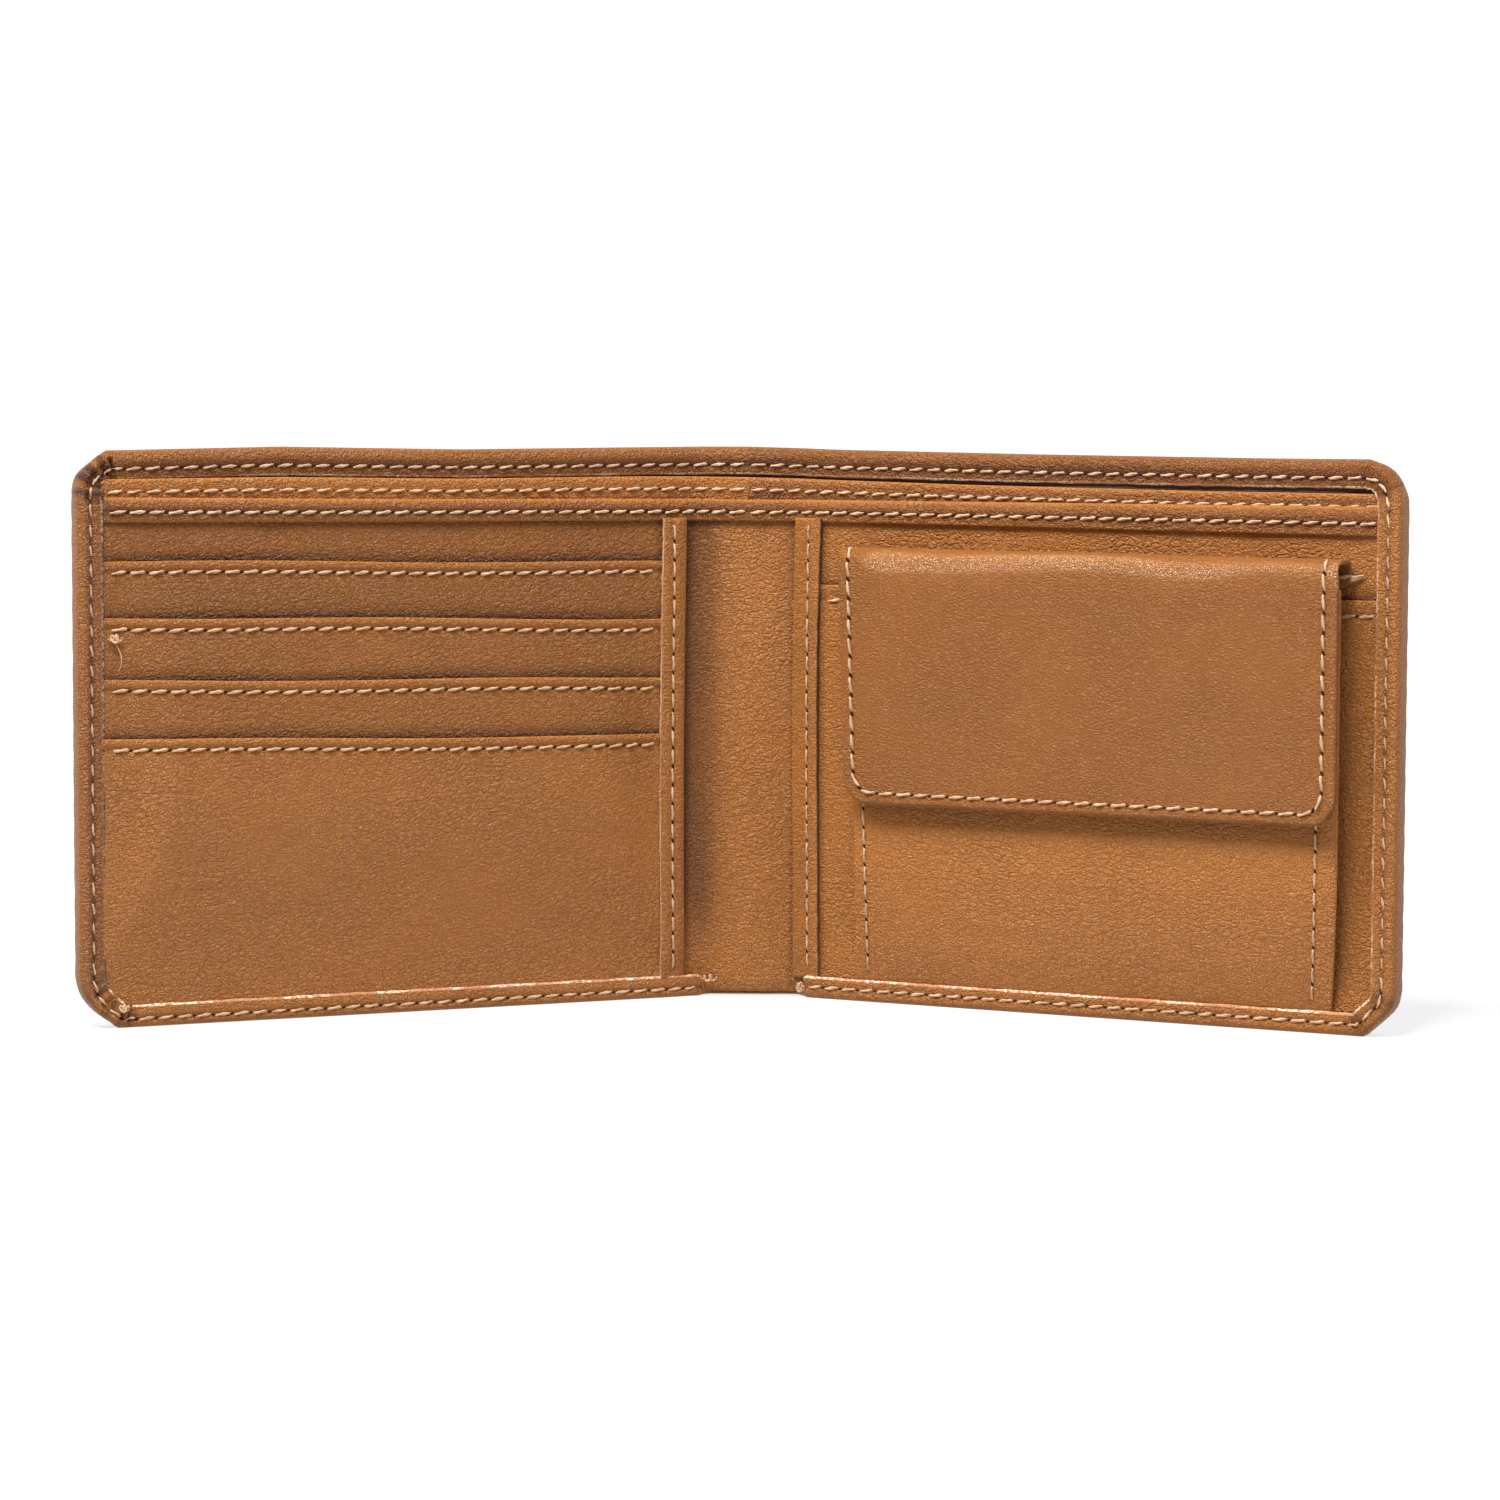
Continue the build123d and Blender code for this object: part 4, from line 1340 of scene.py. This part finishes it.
def coin_edge(z):
    """The pocket's edge beside the spine, which slants a little."""
    return line(z, (3, 22.4), (33, 21.3), (70, 20.9)) - drawn_in(z)


def coin_outer(z):
    return COIN_EDGE_OUT - drawn_in(z)


def coin_front(u, z):
    side_d = np.minimum(u - coin_edge(z), coin_outer(z) - u)
    full = coin_swell(z)
    sides = (full - 4.2) * 0.20 * np.exp(-np.clip(side_d, 0, 99) / 1.3)
    groove = 0.20 * bell(side_d - np.where(u > 60, COIN_SEW_OUT, COIN_SEW_IN), 0.5)
    creases = 0.10 * noise(u, z, 26, 1.7, 241) * smooth((noise(u, z, 30, 11, 243) + 0.2) / 0.7)
    uneven = 0.12 * noise(u, z, 17, 12, 242) * smooth(side_d / 6)
    return full - sides - groove + uneven + creases * smooth(side_d / 4)


def coin_shift(u, z):
    part = (u - COIN_EDGE_IN) / (COIN_EDGE_OUT - COIN_EDGE_IN)
    return coin_edge(z) + part * (coin_outer(z) - coin_edge(z)), z


COIN_DENSE = (COIN_EDGE_IN + 2.7, COIN_EDGE_OUT - 2.6)
# Painted shadow of the flap's lower edge: a dark line across the pocket's front at 32 mm.
slab("coin_pocket_leather", RIGHT, spread(COIN_EDGE_IN, COIN_EDGE_OUT, 0.9, dense=COIN_DENSE),
     spread(COIN_LOW, COIN_TOP, 0.8), coin_front, lambda u, z: coin_front(u, z) - 0.68, [lighter_coin_leather, cut_edge],
     ["coin_pocket_front"], shift=coin_shift, wear=lambda u, z: -0.22 * np.exp(-np.abs(z - 32.0) / 0.7))
coin_cloth = slab("coin_pocket_cloth", RIGHT, np.linspace(COIN_EDGE_IN + 1, COIN_EDGE_OUT - 1, 50),
                  np.linspace(5, 69.3, 40), lambda u, z: coin_front(u, z) - 0.72,
                  lambda u, z: coin_front(u, z) - 0.90, [lining], ["coin_pocket_lining"], shift=coin_shift)
COIN_CLOTH_MM = (80.4, 64.3)  # its mean width and its height
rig.sheet(coin_cloth, flat=tuple(v * MM for v in COIN_CLOTH_MM), held="stretched",
         rests_on=["coin_pocket_leather"])
cloth("coin_pocket_back_cloth", RIGHT, (24.0, 101.2, 8.0, 69.5), 4.62, 4.85, ["coin_pocket_back"], False,
      ["slip_pocket_leather"], 245)


def gusset(part):
    """The pleated side of the coin pocket: a thin fold that tucks in between its front and back."""
    inner = part == "inner"
    reach = 2.6
    zs = np.linspace(4.6, 68.5, 44)
    ts = np.linspace(0, 2, 17)

    def world(t, depth, z):
        mouth = coin_front(np.full_like(z, 60.0), z) - 0.8
        low = np.minimum(4.95, mouth - 0.1)
        edge = (coin_edge(z) + 0.25) if inner else coin_outer(z) - 0.25
        tuck = np.interp(t, (0, 1, 2), (0, reach, 2.0)) * np.clip((mouth - low) / 2.9, 0, 1)
        u = edge + (tuck + depth) * (1 if inner else -1)
        return fold(RIGHT, u, mouth - (mouth - low) * t / 2, z)

    slab(f"coin_gusset_{part}_leather", RIGHT, ts, zs, steady(0.25), steady(-0.25), LEATHERS,
         [f"coin_gusset_{part}"], to_world=world, mirrored=not inner)


for part in ("inner", "outer"):
    gusset(part)
z = np.linspace(69.0, 4.6, 70)
coin_lines = [on_face(coin_front, u, z) for u in (coin_edge(z) + COIN_SEW_IN, coin_outer(z) - COIN_SEW_OUT)]
seam("coin_pocket_stitches", RIGHT, coin_lines, ["coin_pocket_threads"], False, seed=247, radius=0.19,
     slant=0.06)

# ---- Flap ----
FLAP_LOW, FLAP_HIGH = 33.0, 74.2
FLAP_IN, FLAP_OUT = 21.4, 104.7
FLAP_DEPTH = 11.3
TAIL_DEPTH, TAIL_LOW = 3.95, 69.9
TAIL_BEND, FLAP_BEND = 2.0, 2.3


def flap_path():
    """The flap's outer face seen from its end: up its sewn tail, over the bridge and down its front."""
    points = [(TAIL_DEPTH, TAIL_LOW)]
    for a in np.linspace(0, math.pi / 2, 9):
        points.append((TAIL_DEPTH + TAIL_BEND * (1 - math.cos(a)), FLAP_HIGH - TAIL_BEND * (1 - math.sin(a))))
    for a in np.linspace(0, math.pi / 2, 11):
        points.append((FLAP_DEPTH - FLAP_BEND * (1 - math.sin(a)), FLAP_HIGH - FLAP_BEND * (1 - math.cos(a))))
    points.append((FLAP_DEPTH, FLAP_LOW))
    return np.array(points)


PATH = flap_path()
RUN = np.concatenate([[0], np.cumsum(np.linalg.norm(np.diff(PATH, axis=0), axis=1))])
PATH_LENGTH = RUN[-1]
MEETING_DEPTH = 7.5  # where the tail's leather carries on in the front's
MIDDLE = float(np.interp(MEETING_DEPTH, PATH[:20, 0], RUN[:20]))
ROLL_END = 11.4  # along the path, where the roll over the top is nearly straight again


def flap_world(u, depth, s):
    """A point at a distance s along the flap's path and a height above its outer face."""
    s = np.asarray(s, float)
    n, z = np.interp(s, RUN, PATH[:, 0]), np.interp(s, RUN, PATH[:, 1])
    dn = np.interp(s + 0.2, RUN, PATH[:, 0]) - np.interp(s - 0.2, RUN, PATH[:, 0])
    dz = np.interp(s + 0.2, RUN, PATH[:, 1]) - np.interp(s - 0.2, RUN, PATH[:, 1])
    size = np.maximum(np.hypot(dn, dz), 1e-9)
    return fold(RIGHT, u, n - depth * dz / size, z + depth * dn / size)


def flap_shift(u, s):
    """The flap's edge beside the spine slants: the flap is wider at its top."""
    slant = line(s, (0, -1.3), (10, -1.4), (PATH_LENGTH, -0.1))
    return u + slant * (FLAP_OUT - u) / (FLAP_OUT - FLAP_IN), s


def flap_painted_highlight(u, s):
    """Painted highlight on the roll at the flap's top, where light would glint on the grain."""
    here = bell(s - 11.5, 2.6)
    return 2.1 * here * (0.85 + 0.35 * noise(u, s, 14, 3, 255)) * smooth((u - 20) / 8)


def flap_inset(u, s):
    return np.minimum(np.minimum(u - FLAP_IN, FLAP_OUT - u), PATH_LENGTH - s)


def flap_front(u, s):
    d = flap_inset(u, s)
    groove = 0.18 * bell(d - FLAP_SEW, 0.6) * (s > 9)
    uneven = 0.13 * noise(u, s, 24, 17, 251) + 0.03 * noise(u, s, 4, 3, 252)
    return uneven * smooth((d - 1) / 6) - groove + 0.05 * bell(d - 0.9, 0.2 ** 0.5)


def flap_back(u, s):
    rim = smooth((3.4 - flap_inset(u, s)) / 0.8) * smooth((s - 11) / 2)
    return -0.8 - 0.95 * rim


def lining_face(depth):
    """A face of the flap's lining, which lies deeper over the board."""
    return lambda u, s: depth - 0.92 * smooth((s - 10.5) / 2.5)


def turn_over(a, b, start, end):
    """Blends a piece between two bodies. Its start and end are depths and heights."""
    start, end = (tuple(fold(RIGHT, 60, *point)) for point in (start, end))
    return lambda thing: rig.blend(thing, a, b, start=start, end=end)


def flap_sheet(name, inset, columns, rows, front, back, materials, nodes, joined, **options):
    """A sheet along the flap's path. columns is a number of columns, or their places across the flap."""
    us = columns if inset is None else np.linspace(FLAP_IN + inset, FLAP_OUT - inset, columns)
    return slab(name, RIGHT, us, rows, front, back, materials, nodes, shift=flap_shift, to_world=flap_world,
                mirrored=True, joined=joined, **options)


at_tail = turn_over("right_half", "flap_bridge", (4.6, 71.6), (6.6, 74.2))
at_front = turn_over("flap_bridge", "flap", (8.6, 74.3), (11.0, 71.6))
flap_us = spread(FLAP_IN, FLAP_OUT, 1.1, dense=(FLAP_IN + 2, FLAP_OUT - 2))
tail_rows = np.unique(np.concatenate([np.linspace(0, 2.3, 5), np.linspace(2.3, MIDDLE, 14)]))
front_rows = np.concatenate([np.linspace(MIDDLE, ROLL_END, 18)[:-1],
                             spread(ROLL_END, PATH_LENGTH, 0.9, low_edge=False)])
FLAP_LEATHERS = [fine_grained, cut_edge]
flap_sheet("flap_tail_leather", None, flap_us, tail_rows, flap_front, flap_back, FLAP_LEATHERS,
           ["flap_tail", "flap_bridge_leather"], at_tail, open_edges=("high_z",))
flap_sheet("flap_front_leather", None, flap_us, front_rows, flap_front, flap_back, FLAP_LEATHERS,
           ["flap_leather"], at_front, radii=(0, 0, 4.5, 4.5), open_edges=("low_z",), wear=flap_painted_highlight)
bridge_rows = np.linspace(4.6, ROLL_END, 22)
bridge_cloth = flap_sheet("flap_bridge_cloth", 2, 40, bridge_rows[bridge_rows <= MIDDLE], steady(-0.86),
                          steady(-1.05), [lining], ["flap_bridge_lining"], at_tail)
LINING_INSET = 1.2
flap_cloth_rows = np.concatenate([np.linspace(MIDDLE, ROLL_END, 8)[:-1],
                                  np.linspace(ROLL_END, PATH_LENGTH - LINING_INSET, 40)])
flap_cloth = flap_sheet("flap_cloth", LINING_INSET, 60, flap_cloth_rows, lining_face(-0.86), lining_face(-1.05),
                        [lining], ["flap_lining"], at_front, radii=(0, 0, 3.5, 3.5))
lining_width = FLAP_OUT - FLAP_IN - 2 * LINING_INSET
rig.sheet(flap_cloth, flat=(lining_width * MM, (flap_cloth_rows[-1] - MIDDLE) * MM), held="stretched",
         rests_on=["flap_front_leather"], with_pieces=[bridge_cloth])


def flap_seam():
    """The line sewn round three sides of the flap."""
    top, low, turn = MIDDLE + 1.2, PATH_LENGTH - FLAP_SEW, 3.4
    left, right = FLAP_IN + FLAP_SEW, FLAP_OUT - 2.1
    arc = np.linspace(0.1, 1.5, 9)
    points = [(left, s) for s in np.linspace(top, low - turn, 60)]
    points += [(left + turn * (1 - math.cos(a)), low - turn * (1 - math.sin(a))) for a in arc]
    points += [(u, low) for u in np.linspace(left + turn, right - turn, 60)]
    points += [(right - turn * (1 - math.sin(a)), low - turn * (1 - math.cos(a))) for a in arc]
    points += [(right, s) for s in np.linspace(low - turn, top, 60)]
    u, s = np.array(points).T
    moved, s = flap_shift(u, s)
    mesh = Mesh()
    sew(mesh, RIGHT, on_face(flap_front, moved, s), 261, to_world=flap_world, mirrored=True)
    at_front(place_piece(mesh.piece("flap_stitches", THREADS), None, False, "thread", ["flap_thread"]))


def flap_tail_seam():
    """The line that holds the flap's tail, with a bartack at its outer end."""
    mesh = Mesh()
    sew(mesh, RIGHT, flat_points(np.linspace(FLAP_IN - 0.5, FLAP_OUT + 0.4, 60), 4.95, 71.4), 271)
    for k in range(3):
        u, n = np.linspace(103.6, 106.6 - 0.3 * k, 14), np.linspace(4.7, 4.15, 14)
        z = 71.5 - 0.25 * k + 0.12 * np.sin(np.linspace(0, 9, 14))
        tube(mesh, RIGHT, flat_points(u, n, z), 0.20)
    place_piece(mesh.piece("flap_tail_stitches", THREADS), RIGHT, False, "thread", ["flap_tail_thread"])


flap_seam()
flap_tail_seam()

# ---- Finishes for the CAD nodes that stay in view ----
brass = solid_finish("aged_brass", (150, 118, 66), (196, 164, 104), 1.0, 0.22, 240.0)
board = solid_finish("grey_board", (128, 116, 100), (168, 156, 138), 0.0, 0.72, 420.0)
for material, node_names in ((brass, ("snap_stud", "snap_rivet", "snap_socket", "snap_cap")),
                             (board, ("flap_stiffener",))):
    for node_name in node_names:
        node = frame["nodes"][node_name]
        node.data.materials.clear()
        node.data.materials.append(material)

# ---- Floor, light and camera ----
scene = bpy.context.scene
scene.view_settings.view_transform = "Standard"
scene.view_settings.look = "None"


def sweep(name):
    """A pale studio sweep: flat under the wallet and rising far behind it."""
    x, y = np.meshgrid(np.linspace(-5, 5, 41), np.linspace(-4, 4.6, 60))
    lift = np.where(y > 2.2, 1.4 * (y - 2.2) ** 2, 0)
    grid = Mesh()
    index = grid.add(np.stack([x, y, lift], -1), np.stack([x, y], -1) * 100)
    grid.quads(index)
    m = Nodes(name)
    shade = m.noise(m.place(), 3.0, 2.0)
    m.set("Base Color", m.mix(shade, (0.19, 0.19, 0.191, 1), (0.21, 0.21, 0.212, 1)))
    m.set("Emission Color", m.mix(shade, (0.98, 0.98, 0.985, 1), (1.0, 1.0, 1.0, 1)))
    away = m.add("ShaderNodeVectorMath", {0: m.place()}, operation="LENGTH").outputs["Value"]
    m.set("Emission Strength", m.ramp(away, 0.25, 0.9, 0.73, 1.02))
    m.set("Roughness", 0.9)
    m.set("Specular IOR Level", 0.1)
    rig.stage(grid.piece(name, [m.material]))


sweep("studio_floor")
world = bpy.data.worlds.new("studio_light")
world.use_nodes = True
world.node_tree.nodes["Background"].inputs["Color"].default_value = (1.0, 1.0, 1.0, 1.0)
world.node_tree.nodes["Background"].inputs["Strength"].default_value = 0.22
scene.world = world


def stand(name, data, axes, place):
    """Puts a light or camera at a place, with its own axes along the given ones."""
    thing = bpy.data.objects.new(name, data)
    scene.collection.objects.link(thing)
    placing = Matrix(np.stack(axes, 1).tolist()).to_4x4()
    placing.translation = place
    thing.matrix_world = placing
    return thing


def softbox(name, place, size, power):
    """A square light aimed at the wallet's middle."""
    data = bpy.data.lights.new(name, "AREA")
    data.shape, data.size, data.size_y, data.energy = "RECTANGLE", size, size, power
    direction = np.array([0, 0, 0.045]) - np.array(place)
    z = -direction / np.linalg.norm(direction)
    x = np.cross([0, 0, 1], z)
    x /= np.linalg.norm(x)
    stand(name, data, [x, np.cross(z, x), z], place)


softbox("key_light", (-0.16, -0.40, 0.90), 0.30, 15.0)
softbox("left_light", (-0.52, -0.24, 0.83), 0.26, 7.5)
softbox("right_light", (0.46, -0.30, 0.83), 0.26, 3.5)

FOCAL_PX, FRAME_PX, SENSOR_MM = 4907.3, 1500, 36.0
CAMERA_AWAY, CAMERA_TILT = 805.6, math.radians(4.955)
CAMERA_X, CAMERA_Z = 0.46, 40.31
ROLL, TURN = math.radians(0.204), math.radians(1.292)


def turned(x, y, z):
    """From the camera's own upright axes to the frame's: the wallet is turned a little under the camera."""
    return np.array([x * math.cos(TURN) - y * math.sin(TURN), x * math.sin(TURN) + y * math.cos(TURN), z])


level_up = np.array([0, math.sin(CAMERA_TILT), math.cos(CAMERA_TILT)])
level_right = np.array([1.0, 0, 0])
right = turned(*(math.cos(ROLL) * level_right + math.sin(ROLL) * level_up))
up = turned(*(math.cos(ROLL) * level_up - math.sin(ROLL) * level_right))
eye = turned(CAMERA_X, -CAMERA_AWAY * math.cos(CAMERA_TILT), CAMERA_Z + CAMERA_AWAY * math.sin(CAMERA_TILT))
camera_data = bpy.data.cameras.new("camera")
camera_data.sensor_width = SENSOR_MM
camera_data.lens = FOCAL_PX * SENSOR_MM / FRAME_PX
camera_data.clip_start, camera_data.clip_end = 0.05, 50
eye = (eye + np.array([0, HINGE_Y, 0])) * MM
scene.camera = stand("camera", camera_data, [right, up, np.cross(right, up)], eye)

with open("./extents.json", "w") as file:
    json.dump({"cad": [list(corner) for corner in cad_box], "visual": [list(corner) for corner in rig.bounds()]}, file)
